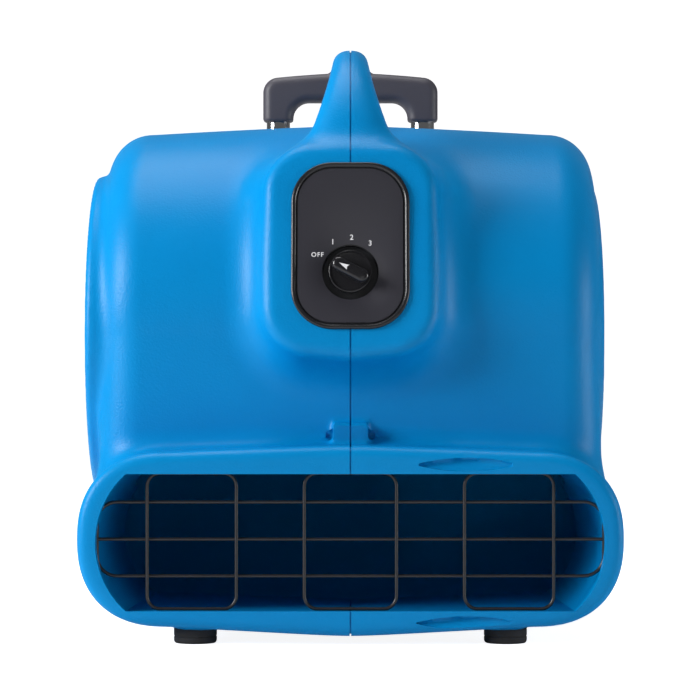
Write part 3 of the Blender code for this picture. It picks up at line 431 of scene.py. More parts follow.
def push_to(field, point, fixed_side, limit):
    """One Newton step of points onto a field's zero surface, along its slope by central differences."""
    step = 2e-4
    slope = []
    for axis in range(3):
        ahead, behind = [p.copy() for p in point], [p.copy() for p in point]
        ahead[axis] += step
        behind[axis] -= step
        slope.append((field(*ahead) - field(*behind)) / (2 * step))
    slope[0] = np.where(fixed_side, 0, slope[0])
    size = np.maximum(sum(s * s for s in slope), 0.05)
    move = np.clip(field(*point), -limit, limit) / size
    return [p - move * s for p, s in zip(point, slope)]


def graded(start, *spans):
    """Grid lines from start: each span gives its end and the spacing wanted in it."""
    lines = [start]
    for end, cell in spans:
        count = max(round((end - lines[-1]) / cell), 1)
        lines.extend(np.linspace(lines[-1], end, count + 1)[1:])
    return np.array(lines)


SIDE_LINES = graded(SEAM_HALF - 0.0033, (SEAM_HALF + 0.0011, 0.0022), (0.019, 0.0023), (0.046, CELL),
                    (0.134, 0.0026), (0.230, CELL))
DEPTH_LINES = graded(-0.0045, (0.0015, 0.0020), (0.0095, 0.0020), (0.050, CELL), (0.085, 0.0030), (0.460, CELL))
HEIGHT_LINES = graded(0.0010, (0.0120, CELL), (0.0260, 0.0023), (0.1370, CELL), (0.1510, 0.0023), (0.1800, 0.0028),
                      (0.5100, CELL))


def crossings_of(fields, lines):
    """Every grid edge that leaves the space where all fields are negative: the field it crosses first, the
    place, the four cells round the edge, and whether the quad through them keeps their order."""
    inside = np.maximum.reduce(fields) < 0
    cells = np.array(inside.shape) - 1
    unit = np.eye(3, dtype=int)
    found = []
    for axis in range(3):
        first, second = [a for a in range(3) if a != axis]
        low = np.argwhere(np.diff(inside, axis=axis))
        across, limits = low[:, [first, second]], cells[[first, second]]
        low = low[np.all((across > 0) & (across < limits), axis=1)]
        forward = inside[tuple(low.T)]
        within = np.where(forward[:, None], low, low + unit[axis])
        without = np.where(forward[:, None], low + unit[axis], low)
        shares = []
        for field in fields:
            a, b = field[tuple(within.T)], field[tuple(without.T)]
            shares.append(np.where(b >= 0, a / np.where(b >= 0, a - b, 1), 2))
        share = np.min(shares, axis=0)[:, None]
        place = [np.stack([line[index[:, n]] for n, line in enumerate(lines)], 1) for index in (within, without)]
        ring = np.stack([low - unit[first] - unit[second], low - unit[second], low, low - unit[first]], 1)
        found.append((np.argmin(shares, axis=0), place[0] + share * (place[1] - place[0]),
                      np.ravel_multi_index(ring.transpose(2, 0, 1), cells), forward if axis != 1 else ~forward))
    return [np.concatenate(group) for group in zip(*found)]


def housing_half(name, sign, material):
    """The skin of one half. Space is cut into cells; each grid edge that leaves the plastic gives one quad
    between the points of its four cells. A cell's point sits on the surface, or on the crease where two or
    more surfaces meet in it; where the thin wall's two sides share a cell, each side has its own point."""
    surfaces = (
        lambda s, d, z: plastic_field(sign * s, d, z),
        lambda s, d, z: -air_field(sign * s, d, z),
        lambda s, d, z: SEAM_HALF - s,
        lambda s, d, z: -duct_ends(s, d, z),
        lambda s, d, z: -duct_flats(s, d, z),
    )
    outside, hollow, seam, ends, flats = range(5)
    lines = (SIDE_LINES, DEPTH_LINES, HEIGHT_LINES)
    grid = np.meshgrid(*lines, indexing="ij")
    kinds, crossings, rings, forwards = crossings_of([surface(*grid) for surface in surfaces[:3]], lines)
    end_gap, flat_gap = np.abs(surfaces[ends](*crossings.T)), np.abs(surfaces[flats](*crossings.T))
    in_duct = (kinds == hollow) & (np.minimum(end_gap, flat_gap) < 0.25 * CELL) & (crossings[:, 1] < SHAFT_DEPTH)
    kinds = np.where(in_duct, np.where(end_gap < flat_gap, ends, flats), kinds)
    used, ring_cell = np.unique(rings, return_inverse=True)
    ring_cell = ring_cell.reshape(rings.shape)
    hits = np.zeros((5, len(used)))
    total = np.zeros((5, len(used), 3))
    for corner in range(4):
        np.add.at(hits, (kinds, ring_cell[:, corner]), 1)
        np.add.at(total, (kinds, ring_cell[:, corner]), crossings)

    def settle(live):
        """Points that start at the mean crossing of the live kinds and are pushed onto all of them by turns,
        with where they started, how far off the surfaces they are and how far they moved."""
        share = np.where(live, hits, 0)
        start = (total * (share > 0)[..., None]).sum(axis=0) / np.maximum(share.sum(axis=0), 1)[:, None]
        point = [start[:, 0], start[:, 1], start[:, 2]]
        on_seam = hits[seam] > 0
        for turn in range(7):
            point[0] = np.where(on_seam, SEAM_HALF, point[0])
            for number in (outside, hollow, ends, flats):
                chosen = np.flatnonzero(live[number] & (hits[number] > 0))
                if turn > 2:
                    chosen = chosen[(live & (hits > 0))[:, chosen].sum(axis=0) > 1]
                moved = push_to(surfaces[number], [p[chosen] for p in point], on_seam[chosen], CELL / 2)
                for axis in range(3):
                    point[axis] = point[axis].copy()
                    point[axis][chosen] = moved[axis]
        left = np.zeros(len(used))
        for number in (outside, hollow, ends, flats):
            chosen = np.flatnonzero(live[number] & (hits[number] > 0))
            left[chosen] = np.maximum(left[chosen], np.abs(surfaces[number](*[p[chosen] for p in point])))
        point = np.stack(point, 1)
        return start, point, left, np.linalg.norm(point - start, axis=1)

    everything = np.ones_like(hits, bool)
    start, joint, left, drift = settle(everything)
    met = (left < 0.0003) & (drift < 1.5 * CELL)
    two_sided = ~met & (hits[outside] > 0) & (hits[[hollow, ends, flats]].sum(axis=0) > 0)
    unsettled = ~met & ~two_sided
    joint[unsettled] = start[unsettled]
    sides = []
    for kept in ([outside], [hollow, ends, flats]):
        live = np.zeros_like(everything)
        live[kept] = True
        start, point, _, drift = settle(live)
        sides.append(np.where((drift < 1.5 * CELL)[:, None], point, start))
    joint[two_sided] = sides[0][two_sided]
    points = np.vstack([joint, sides[1][two_sided]])
    own = np.arange(len(used))
    inner = own.copy()
    inner[two_sided] = len(used) + np.arange(two_sided.sum())
    quads = np.where(np.isin(kinds, (outside, seam))[:, None], own[ring_cell], inner[ring_cell])
    quads = np.where((forwards == (sign > 0))[:, None], quads, quads[:, ::-1])
    points[:, 1] = np.maximum(points[:, 1], 0)
    return put_mesh(name, points * (sign, 1, 1) + (0, RIM_FRONT, 0), quads, material, crease=38)


def grained_plastic(name, colour, deep, roughness, grain, size, depth, sheen=0.5):
    """Moulded plastic: faint cloudy colour, a fine spark-eroded grain and slightly uneven gloss."""
    material, nodes, links, shader = plain_finish(name, colour, roughness)
    shader.inputs["Specular IOR Level"].default_value = sheen
    place = nodes.new("ShaderNodeTexCoord")
    cloud = nodes.new("ShaderNodeTexNoise")
    cloud.inputs["Scale"].default_value = 14
    cloud.inputs["Detail"].default_value = 3
    mix = nodes.new("ShaderNodeMix")
    mix.data_type = "RGBA"
    mix.inputs["A"].default_value = (*deep, 1)
    mix.inputs["B"].default_value = (*colour, 1)
    links.new(place.outputs["Object"], cloud.inputs["Vector"])
    links.new(cloud.outputs["Fac"], mix.inputs["Factor"])
    links.new(mix.outputs["Result"], shader.inputs["Base Color"])
    fine = nodes.new("ShaderNodeTexNoise")
    fine.inputs["Scale"].default_value = 1 / size
    fine.inputs["Detail"].default_value = 2
    links.new(place.outputs["Object"], fine.inputs["Vector"])
    bump = nodes.new("ShaderNodeBump")
    bump.inputs["Strength"].default_value = grain
    bump.inputs["Distance"].default_value = depth
    links.new(fine.outputs["Fac"], bump.inputs["Height"])
    links.new(bump.outputs["Normal"], shader.inputs["Normal"])
    gloss = nodes.new("ShaderNodeMapRange")
    gloss.inputs["To Min"].default_value = roughness - 0.06
    gloss.inputs["To Max"].default_value = roughness + 0.06
    links.new(fine.outputs["Fac"], gloss.inputs["Value"])
    links.new(gloss.outputs["Result"], shader.inputs["Roughness"])
    return material


BLUE = grained_plastic("blue housing plastic", (0.000, 0.250, 0.590), (0.000, 0.218, 0.540), 0.36, 0.45,
                       0.0017, 0.0005, 0.14)
for side, sign in (("left", -1), ("right", 1)):
    half = housing_half(f"housing_shell_{side}", sign, BLUE)
    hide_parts(f"housing_{side}")
    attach(half, "frame")

# ---------------------------------------------------------------------------------------------------
# Seam tongue: a thin blue rib just under the outer skin, which keeps light out of the 1.2 mm seam. It
# follows the middle section's outline and reaches 0.2 mm into both halves; no groove is modelled for it.
# ---------------------------------------------------------------------------------------------------
TONGUE_CELL, TONGUE_SINK, TONGUE_DEPTH, TONGUE_HALF = 0.0012, 0.0016, 0.0022, 0.0008


def tongue_field(depth, z):
    """The band between two depths under the middle section's outline, left out where duct and panel are."""
    middle = np.zeros_like(depth)
    _, v, n = panel_axes(middle, depth, z)
    panel = np.maximum(np.abs(v - 0.0226) - 0.0690, -0.012 - n)
    duct = np.maximum(duct_flats(middle, depth, z), depth - SHAFT_DEPTH)
    band = np.abs(plastic_field(middle, depth, z) + TONGUE_SINK + TONGUE_DEPTH / 2) - TONGUE_DEPTH / 2
    return np.maximum.reduce([band, -panel, -duct])


def seam_tongue(material):
    """A flat plate: one quad for each grid point in the band, its corners pulled onto the band's edge."""
    d_line = -0.004 + TONGUE_CELL * np.arange(int(0.460 / TONGUE_CELL))
    z_line = TONGUE_CELL * np.arange(int(0.512 / TONGUE_CELL))
    depth, z = np.meshgrid(d_line, z_line, indexing="ij")
    inside = tongue_field(depth, z) < 0
    filled = np.argwhere(inside[1:-1, 1:-1]) + 1
    ring = np.stack([filled - (1, 1), filled - (0, 1), filled, filled - (1, 0)], 1)
    cells = np.ravel_multi_index(ring.transpose(2, 0, 1), depth.shape)
    used, quads = np.unique(cells, return_inverse=True)
    quads = quads.reshape(cells.shape)
    row, column = np.unravel_index(used, depth.shape)
    d_mid, z_mid = d_line[row] + TONGUE_CELL / 2, z_line[column] + TONGUE_CELL / 2
    edge = ~(inside[row, column] & inside[row + 1, column]
             & inside[row, column + 1] & inside[row + 1, column + 1])
    d_edge, z_edge = d_mid[edge], z_mid[edge]
    for _ in range(4):
        step = 1e-4
        value = tongue_field(d_edge, z_edge)
        d_slope = (tongue_field(d_edge + step, z_edge) - tongue_field(d_edge - step, z_edge)) / (2 * step)
        z_slope = (tongue_field(d_edge, z_edge + step) - tongue_field(d_edge, z_edge - step)) / (2 * step)
        move = np.clip(value, -TONGUE_CELL, TONGUE_CELL) / np.maximum(d_slope**2 + z_slope**2, 0.3) * 0.8
        d_edge, z_edge = d_edge - move * d_slope, z_edge - move * z_slope
    d_mid[edge], z_mid[edge] = d_edge, z_edge
    sides = [np.stack([np.full(len(used), x), d_mid + RIM_FRONT, z_mid], 1) for x in (-TONGUE_HALF, TONGUE_HALF)]
    ends = quads[:, [0, 1, 2, 3, 1, 2, 3, 0]].reshape(-1, 2, 4).transpose(0, 2, 1).reshape(-1, 2)
    key = np.sort(ends, axis=1) @ (len(used), 1)
    _, where, count = np.unique(key, return_index=True, return_counts=True)
    border = ends[where[count == 1]]
    walls = np.stack([border[:, 1], border[:, 0], border[:, 0] + len(used), border[:, 1] + len(used)], 1)
    faces = np.concatenate([quads, quads[:, ::-1] + len(used), walls])
    return put_mesh("seam_tongue", np.concatenate(sides), faces, material)


tongue = seam_tongue(BLUE)
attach(tongue, "frame")

# ---------------------------------------------------------------------------------------------------
# Control panel: a moulded black plate with a raised bead round its edge, screwed into the pod's mouth,
# and a charcoal printed label with the dial's marks round the sunk seat of the speed knob.
# ---------------------------------------------------------------------------------------------------
PANEL_HALF, PANEL_RISE, PANEL_CENTRE, PANEL_CORNER = 0.0487, 0.0705, 0.0226, 0.034
RECESS = 0.0225
PANEL_STEPS = 256


def on_panel(u, v, n):
    """Places across, up and out of the panel's plane, from the knob's axis, as world positions."""
    u, v, n = np.broadcast_arrays(u, v, n)
    sine, cosine = math.sin(PANEL_TILT), math.cos(PANEL_TILT)
    return np.stack([u, RIM_FRONT + KNOB_DEPTH + v * sine - n * cosine, KNOB_HEIGHT + v * cosine + n * sine], -1)


def panel_reach(angle, inset):
    """How far the panel's rounded outline, standing in by inset, lies from the knob's axis at each angle."""
    corner = PANEL_CORNER - inset
    quarter = np.linspace(0, math.pi / 2, 400)
    across, up = PANEL_HALF - PANEL_CORNER, PANEL_RISE - PANEL_CORNER
    centres = ((across, up, 0), (-across, up, 1), (-across, -up, 2), (across, -up, 3))
    outline = np.concatenate([[x + corner * np.cos(quarter + turn * math.pi / 2),
                               PANEL_CENTRE + y + corner * np.sin(quarter + turn * math.pi / 2)]
                              for x, y, turn in centres], axis=1)
    closed = np.concatenate([outline, outline[:, :1]], axis=1)
    share = np.linspace(0, 1, 40, endpoint=False)[:, None]
    dense = closed[:, None, :-1] + share * (closed[:, 1:] - closed[:, :-1])[:, None]
    dense = dense.transpose(0, 2, 1).reshape(2, -1)
    bearing = np.arctan2(dense[1], dense[0])
    order = np.argsort(bearing)
    return np.interp(angle, bearing[order], np.hypot(*dense)[order], period=2 * math.pi)


def panel_skin(rows):
    """Rings round the knob's axis; each row is (follows the outline, inset or radius, height)."""
    angle = np.linspace(-math.pi, math.pi, PANEL_STEPS, endpoint=False)
    spots = []
    for outline, size, height in rows:
        radius = panel_reach(angle, size) if outline else size
        spots.append(on_panel(radius * np.cos(angle), radius * np.sin(angle), height))
    return np.concatenate(spots), grid_faces(len(rows), PANEL_STEPS, True, True)


PANEL_BLACK = grained_plastic("black panel plastic", (0.016, 0.017, 0.020), (0.011, 0.012, 0.014), 0.24, 0.25,
                              0.0006, 0.00015)
LABEL = grained_plastic("charcoal label film", (0.030, 0.029, 0.039), (0.025, 0.025, 0.033), 0.42, 0.15,
                        0.0004, 0.00006)
bead = [(True, 0.0027, -0.0060), (True, 0.0027, 0.0003), (True, 0.0003, 0.0003), (True, 0.0000, 0.0006),
        (True, 0.0000, 0.0014), (True, 0.0002, 0.0022), (True, 0.0008, 0.0028), (True, 0.0016, 0.0030),
        (True, 0.0026, 0.0029), (True, 0.0034, 0.0024), (True, 0.0041, 0.0013), (True, 0.0046, 0.0007),
        (True, 0.0052, 0.0006)]
seat = [(False, 0.0232, 0.0006), (False, 0.0226, 0.0002), (False, RECESS, -0.0004), (False, RECESS, -0.0030),
        (False, 0.0221, -0.0034), (False, 0.0052, -0.0034), (False, 0.0051, -0.0060)]
panel = put_mesh("control_panel_plate", *panel_skin(bead + seat), PANEL_BLACK)
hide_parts("control_panel")
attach(panel, "frame")
film = [(True, 0.0054, 0.0009), (True, 0.0054, 0.0015), (True, 0.0056, 0.0017), (False, 0.0236, 0.0017),
        (False, 0.0233, 0.0015), (False, 0.0233, 0.0009)]
label = put_mesh("dial_label", *panel_skin(film), LABEL)
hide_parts("panel_label")
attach(label, "frame")

MARK_RADIUS, MARK_SIZE = 0.0290, 0.0062
MARK_STEP, OFF_BEARING = 32, 152
PRINT_WHITE = plain_finish("white print", (0.82, 0.82, 0.84), 0.55)[0]
for step, word in enumerate(("OFF", "1", "2", "3")):
    lettering = bpy.data.curves.new(f"mark_{word}", "FONT")
    lettering.body, lettering.size, lettering.extrude = word, MARK_SIZE * (0.86 if step == 0 else 1), 0.00005
    lettering.align_x, lettering.align_y, lettering.offset = "CENTER", "CENTER", 0.00006
    lettering.space_character = 1.18
    holder = bpy.data.objects.new(f"mark_{word}", lettering)
    bpy.context.collection.objects.link(holder)
    bpy.context.view_layer.update()
    drawn = bpy.data.meshes.new_from_object(holder)
    bpy.data.objects.remove(holder)
    flat = np.empty(len(drawn.vertices) * 3, np.float32)
    drawn.vertices.foreach_get("co", flat)
    flat = flat.reshape(-1, 3)
    bearing = math.radians(OFF_BEARING - MARK_STEP * step)
    radius = MARK_RADIUS + (0.0016 if step == 0 else 0)
    spots = on_panel(flat[:, 0] + radius * math.cos(bearing), flat[:, 1] + radius * math.sin(bearing),
                     flat[:, 2] + 0.00172)
    drawn.vertices.foreach_set("co", spots.astype(np.float32).ravel())
    drawn.materials.clear()
    drawn.materials.append(PRINT_WHITE)
    mark = bpy.data.objects.new(f"dial_mark_{word.lower()}", drawn)
    bpy.context.collection.objects.link(mark)
    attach(mark, "frame")

# ---------------------------------------------------------------------------------------------------
# Speed knob: a gloss black pointer knob. A shallow dish with a raised lip carries a tall rounded grip
# bar, and a white arrow on the bar's end points at the marks.
# ---------------------------------------------------------------------------------------------------
KNOB = 0.01775
BAR_HALF = 0.0063
POINTER = math.radians(OFF_BEARING)


def fillet(corners, radii, steps=4):
    """A closed or open run of corners, each rounded by a quadratic curve that starts its radius away."""
    corners, radii = np.asarray(corners, float), np.asarray(radii, float)
    back = np.roll(corners, 1, axis=0) - corners
    on = np.roll(corners, -1, axis=0) - corners
    back, on = [side / np.linalg.norm(side, axis=1, keepdims=True) * radii[:, None] for side in (back, on)]
    t = np.linspace(0, 1, steps)[None, :, None]
    curve = (corners + back)[:, None] * (1 - t) ** 2 + corners[:, None] * 2 * t * (1 - t) \
        + (corners + on)[:, None] * t**2
    return curve.reshape(-1, 2)


def turned(profile, centre, axis, sides, closed=True):
    """A profile of (along, radius) turned about an axis through centre; open profiles start and end on it."""
    axis = np.array(axis, float) / np.linalg.norm(axis)
    first = np.cross(axis, (0, 0, 1) if abs(axis[2]) < 0.9 else (1, 0, 0))
    first /= np.linalg.norm(first)
    second = np.cross(axis, first)
    around = np.linspace(0, 2 * math.pi, sides, endpoint=False)
    profile = np.asarray(profile, float)
    radial = np.cos(around)[:, None] * first + np.sin(around)[:, None] * second
    spots = centre + profile[:, None, :1] * axis + profile[:, None, 1:] * radial
    return spots.reshape(-1, 3), grid_faces(len(profile), sides, closed, True)


def joined(parts):
    """Several point and face sets as one."""
    shift = np.cumsum([0] + [len(spots) for spots, _ in parts[:-1]])
    return np.concatenate([spots for spots, _ in parts]), \
        np.concatenate([faces + start for (_, faces), start in zip(parts, shift)])


def capped(layers):
    """A closed body through a stack of outlines, each end drawn in to its middle."""
    ends = [np.broadcast_to(layer.mean(axis=0), layer.shape) for layer in (layers[0], layers[-1])]
    return np.concatenate([ends[0], *layers, ends[1]]), grid_faces(len(layers) + 2, len(layers[0]), False, True)


def put_solid(name, parts, material, crease=35):
    """Closed bodies as one mesh: merged at poles, and each turned to face outwards by its own volume."""
    whole = []
    for spots, faces in parts:
        spots = np.asarray(spots, float)
        middle = spots.mean(axis=0)
        a, b, c, d = [spots[faces[:, corner]] - middle for corner in range(4)]
        volume = (np.einsum("ij,ij->i", a, np.cross(b, c)) + np.einsum("ij,ij->i", a, np.cross(c, d))).sum()
        whole.append((spots, faces if volume > 0 else faces[:, ::-1]))
    made = put_mesh(name, *joined(whole), material, crease)
    shape = bmesh.new()
    shape.from_mesh(made.data)
    bmesh.ops.remove_doubles(shape, verts=shape.verts, dist=2e-6)
    shape.to_mesh(made.data)
    shape.free()
    shaded(made.data, crease)
    return made


def stadium(length, half, steps=14):
    """An outline with straight sides and round ends."""
    end = np.linspace(-math.pi / 2, math.pi / 2, steps)
    right = np.stack([length - half + half * np.cos(end), half * np.sin(end)], 1)
    return np.concatenate([right, -right])


GLOSS = grained_plastic("gloss black plastic", (0.012, 0.012, 0.014), (0.009, 0.009, 0.011), 0.20, 0.06,
                        0.0007, 0.00005)
panel_normal = on_panel(0, 0, 1) - on_panel(0, 0, 0)
knob_centre = on_panel(0, 0, 0)
dish = [(-0.0029, 0), (-0.0029, 0.0165), (-0.0024, 0.0172), (-0.0018, KNOB), (0.0044, KNOB), (0.0050, 0.0176),
        (0.0053, 0.0171), (0.0052, 0.0164), (0.0046, 0.0160), (0.0041, 0.0156), (0.0040, 0.0150), (0.0040, 0)]
rows = [(0.0030, 0.0168, BAR_HALF), (0.0085, 0.0166, BAR_HALF - 0.0003), (0.0112, 0.0163, BAR_HALF - 0.0006),
        (0.0126, 0.0156, BAR_HALF - 0.0013), (0.0134, 0.0143, BAR_HALF - 0.0024),
        (0.0137, 0.0120, BAR_HALF - 0.0040)]


def pointed(flat, height):
    """A flat outline, turned to the pointer's bearing, at a height out of the panel."""
    return on_panel(flat[:, 0] * math.cos(POINTER) - flat[:, 1] * math.sin(POINTER),
                    flat[:, 0] * math.sin(POINTER) + flat[:, 1] * math.cos(POINTER), height)


bar = capped([pointed(stadium(length, half), height) for height, length, half in rows])
knob = put_solid("pointer_knob", [turned(dish, knob_centre, panel_normal, 96, closed=False), bar], GLOSS, 40)
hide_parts("speed_knob")
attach(knob, "knob")
arrow = np.array([(0.0104, 0), (0.0022, 0.0022), (0.0032, 0), (0.0022, -0.0022)])
pointer = put_solid("knob_arrow", [capped([pointed(arrow, height) for height in (0.01345, 0.01385)])], PRINT_WHITE)
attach(pointer, "knob")

# ---------------------------------------------------------------------------------------------------
# Inlets: a black moulded bell mouth in each side collar leads the air into the fan's eye, and a guard of
# coated wire rings on four spokes and a small disc closes it.
# ---------------------------------------------------------------------------------------------------
THROAT = 0.095
FLANGE = 0.1150
CONE_DEEP, CONE_FACE = 0.130, 0.209
GUARD_WIRE = 0.0015
GUARD_RINGS = (0.113, 0.100, 0.087, 0.074, 0.061, 0.048, 0.035, 0.022)
BLACK = grained_plastic("black moulded plastic", (0.022, 0.021, 0.025), (0.016, 0.015, 0.018), 0.48, 0.4,
                        0.0010, 0.00025)


def coated_wire(name):
    """Black powder coat on wire: nearly black, softly glossy, with a faint orange-peel bump."""
    return grained_plastic(name, (0.017, 0.016, 0.018), (0.012, 0.011, 0.013), 0.30, 0.25, 0.0008, 0.00012)


WIRE = coated_wire("black coated wire")
depth_share = np.linspace(0, 1, 24)
bell = THROAT + (0.1105 - THROAT) * (1 - np.sqrt(1 - 0.98 * depth_share**2)) / (1 - math.sqrt(0.02))
inner_side = np.column_stack([CONE_DEEP + (CONE_FACE - CONE_DEEP) * depth_share, bell])
outer_side = inner_side[::-1] + (-0.0010, 0.0024)
outer_side = outer_side[outer_side[:, 0] < 0.2045]
flange_edge = [(CONE_FACE, FLANGE - 0.0006), (CONE_FACE - 0.0004, FLANGE), (0.2066, FLANGE),
               (0.2062, FLANGE - 0.0006), (0.2060, outer_side[0, 1])]
cone_profile = np.concatenate([inner_side, flange_edge, outer_side])
guard_places = {"left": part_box("inlet_guard_left"), "right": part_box("inlet_guard_right")}
for side, sign in (("left", -1), ("right", 1)):
    cone = put_solid(f"inlet_bell_{side}", [turned(cone_profile, SHAFT_AT * (0, 1, 1), (sign, 0, 0), 128)], BLACK)
    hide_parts(f"inlet_cone_{side}")
    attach(cone, "frame")
    low, high = guard_places[side]
    centre = np.array([(low[0] + high[0]) / 2, SHAFT_AT[1], SHAFT_AT[2]])
    around = np.linspace(0, 2 * math.pi, 10, endpoint=False)
    wires = [turned(np.column_stack([GUARD_WIRE * np.sin(around),
                                     radius - GUARD_WIRE + GUARD_WIRE * np.cos(around)]),
                    centre, (1, 0, 0), 96) for radius in GUARD_RINGS]
    plate = fillet([(-0.0018, 0.0002), (-0.0018, 0.013), (0.0018, 0.013), (0.0018, 0.0002)],
                   (0, 0.0008, 0.0008, 0))
    wires.append(turned(plate, centre, (1, 0, 0), 48))
    for quarter in range(4):
        bearing = 2 * math.pi * (quarter + 0.25) / 4
        ray = np.array([0, math.cos(bearing), math.sin(bearing)])
        rod = [(0.010, 0), (0.010, 0.0013), (0.1115, 0.0013), (0.1115, 0)]
        wires.append(turned(rod, centre - (sign * 0.0004, 0, 0), ray, 12, closed=False))
    guard = put_solid(f"inlet_grille_{side}", wires, WIRE)
    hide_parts(f"inlet_guard_{side}")
    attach(guard, "frame")

# ---------------------------------------------------------------------------------------------------
# Fan wheel: a double-inlet drum of thirty forward-curved blades between two end rings, carried by a
# middle plate riveted to the aluminium hub on the motor's shaft.
# ---------------------------------------------------------------------------------------------------
FAN_OUT, FAN_EYE, FAN_HALF = 0.1228, 0.1000, 0.1200
BLADES = 30
BLADE_THICK = 0.0015
FAN_PLASTIC = grained_plastic("black fan plastic", (0.026, 0.026, 0.029), (0.020, 0.020, 0.023), 0.45, 0.3,
                              0.0012, 0.0002)


def fan_blade(number):
    """A thin strip whose section leads with radius to the power 1.8, carried straight along the shaft."""
    share = np.linspace(0, 1, 9)
    radius = FAN_EYE + (FAN_OUT - 0.001 - FAN_EYE) * share
    lean = 2 * math.pi * (number + 0.5) / BLADES - 0.11 * share**1.8
    thick = BLADE_THICK / 2 * np.sqrt(np.clip(1 - (2 * share - 1) ** 8, 0.05, 1)) / radius
    bearing = np.concatenate([lean - thick, (lean + thick)[::-1]])
    reach = np.concatenate([radius, radius[::-1]])
    ring = np.column_stack([reach * np.cos(bearing), reach * np.sin(bearing)])
    end = FAN_HALF - 0.001
    spots, faces = capped([np.column_stack([np.full(len(ring), along), ring]) for along in (-end, end)])
    return spots[:, [0, 2, 1]] * (1, 1, -1) + (0, SHAFT_AT[1], SHAFT_AT[2]), faces


fan_parts = [fan_blade(number) for number in range(BLADES)]
for sign in (-1, 1):
    band = fillet([(sign * (FAN_HALF - 0.0035), FAN_EYE - 0.001), (sign * (FAN_HALF - 0.0035), FAN_OUT),
                   (sign * FAN_HALF, FAN_OUT), (sign * FAN_HALF, FAN_EYE - 0.001)], (0.0009,) * 4, 3)
    fan_parts.append(turned(band, SHAFT_AT * (0, 1, 1), (1, 0, 0), 96))
plate = [(-0.00125, 0.0203), (-0.00125, 0.034), (-0.0025, 0.040), (-0.0025, 0.060), (-0.00125, 0.066),
         (-0.00125, 0.1120), (0.00125, 0.1120), (0.00125, 0.066), (0.0000, 0.060), (0.0000, 0.040),
         (0.00125, 0.034), (0.00125, 0.0203)]
fan_parts.append(turned(plate, SHAFT_AT * (0, 1, 1), (1, 0, 0), 96))
fan = put_solid("blower_wheel", fan_parts, FAN_PLASTIC, 30)
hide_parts("fan_wheel")
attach(fan, "rotor")

# ---------------------------------------------------------------------------------------------------
# Outlet guard: welded coated wire in the mouth of the duct, a long hoop with a middle bar behind three
# upright loops.
# ---------------------------------------------------------------------------------------------------
OUTLET_WIRE = 0.00145
LOOP_DEPTH, HOOP_DEPTH = 0.0105, 0.0130


def rounded_loop(low, high, corner, steps=10):
    """A closed rectangle with round corners in X and Z, with points close together only in its bends."""
    quarter = np.linspace(0, math.pi / 2, steps)
    centres = ((high[0] - corner, high[1] - corner), (low[0] + corner, high[1] - corner),
               (low[0] + corner, low[1] + corner), (high[0] - corner, low[1] + corner))
    return np.concatenate([np.column_stack([x + corner * np.cos(quarter + turn * math.pi / 2),
                                            z + corner * np.sin(quarter + turn * math.pi / 2)])
                           for turn, (x, z) in enumerate(centres)])


def wire_along(loop, depth, closed=True, sides=12):
    """A round wire carried along a path in the X-Z plane; across each turn it keeps its own thickness."""
    path = np.column_stack([loop[:, 0], np.full(len(loop), RIM_FRONT + depth), loop[:, 1]])
    on = np.roll(path, -1, axis=0) - path
    back = path - np.roll(path, 1, axis=0)
    if not closed:
        on[-1], back[0] = back[-1], on[0]
    run = on / np.linalg.norm(on, axis=1, keepdims=True) + back / np.linalg.norm(back, axis=1, keepdims=True)
    run /= np.linalg.norm(run, axis=1, keepdims=True)
    out = np.cross(run, (0, 1, 0))
    around = np.linspace(0, 2 * math.pi, sides, endpoint=False)
    ring = np.cos(around)[None, :, None] * out[:, None] + np.sin(around)[None, :, None] * np.array([0, 1, 0])
    spots = path[:, None] + OUTLET_WIRE * ring
    if not closed:
        ends = [np.broadcast_to(path[[index]], spots[0].shape) for index in (0, -1)]
        spots = np.concatenate([ends[0][None], spots, ends[1][None]])
    return spots.reshape(-1, 3), grid_faces(len(spots), sides, closed, True)


wires = [wire_along(rounded_loop((-0.2046, 0.0553), (0.2046, 0.1150), 0.016), HOOP_DEPTH),
         wire_along(np.array([(-0.2050, 0.0850), (0, 0.0850), (0.2050, 0.0850)]), HOOP_DEPTH, closed=False)]
for left, right in ((-0.1640, -0.0920), (-0.0372, 0.0372), (0.0920, 0.1640)):
    wires.append(wire_along(rounded_loop((left, 0.0289), (right, 0.1384), 0.0105), LOOP_DEPTH))
outlet = put_solid("outlet_grille", wires, WIRE)
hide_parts("outlet_guard")
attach(outlet, "frame")

# ---------------------------------------------------------------------------------------------------
# Telescopic handle: a soft-touch black grip with a release button, on two chromed tubes that slide in
# two wider chromed tubes clamped to the housing's back.
# ---------------------------------------------------------------------------------------------------
GRIP_FRONT, GRIP_BACK = 0.436, 0.466
LEG_OUT, LEG_IN, LEG_FOOT = 0.0830, 0.0544, 0.4550
GRIP_UNDER, GRIP_TOP, GRIP_SHOULDER = 0.4734, 0.5013, 0.4955
GRIP_CORNER, GAP_CORNER, GRIP_EDGE, FOOT_EDGE = 0.013, 0.0150, 0.0085, 0.0025
GRIP_CELL = 0.0015
TUBE_X, TUBE_DEPTH_AT = 0.0687, 0.451
CHROME_SIDES = 64


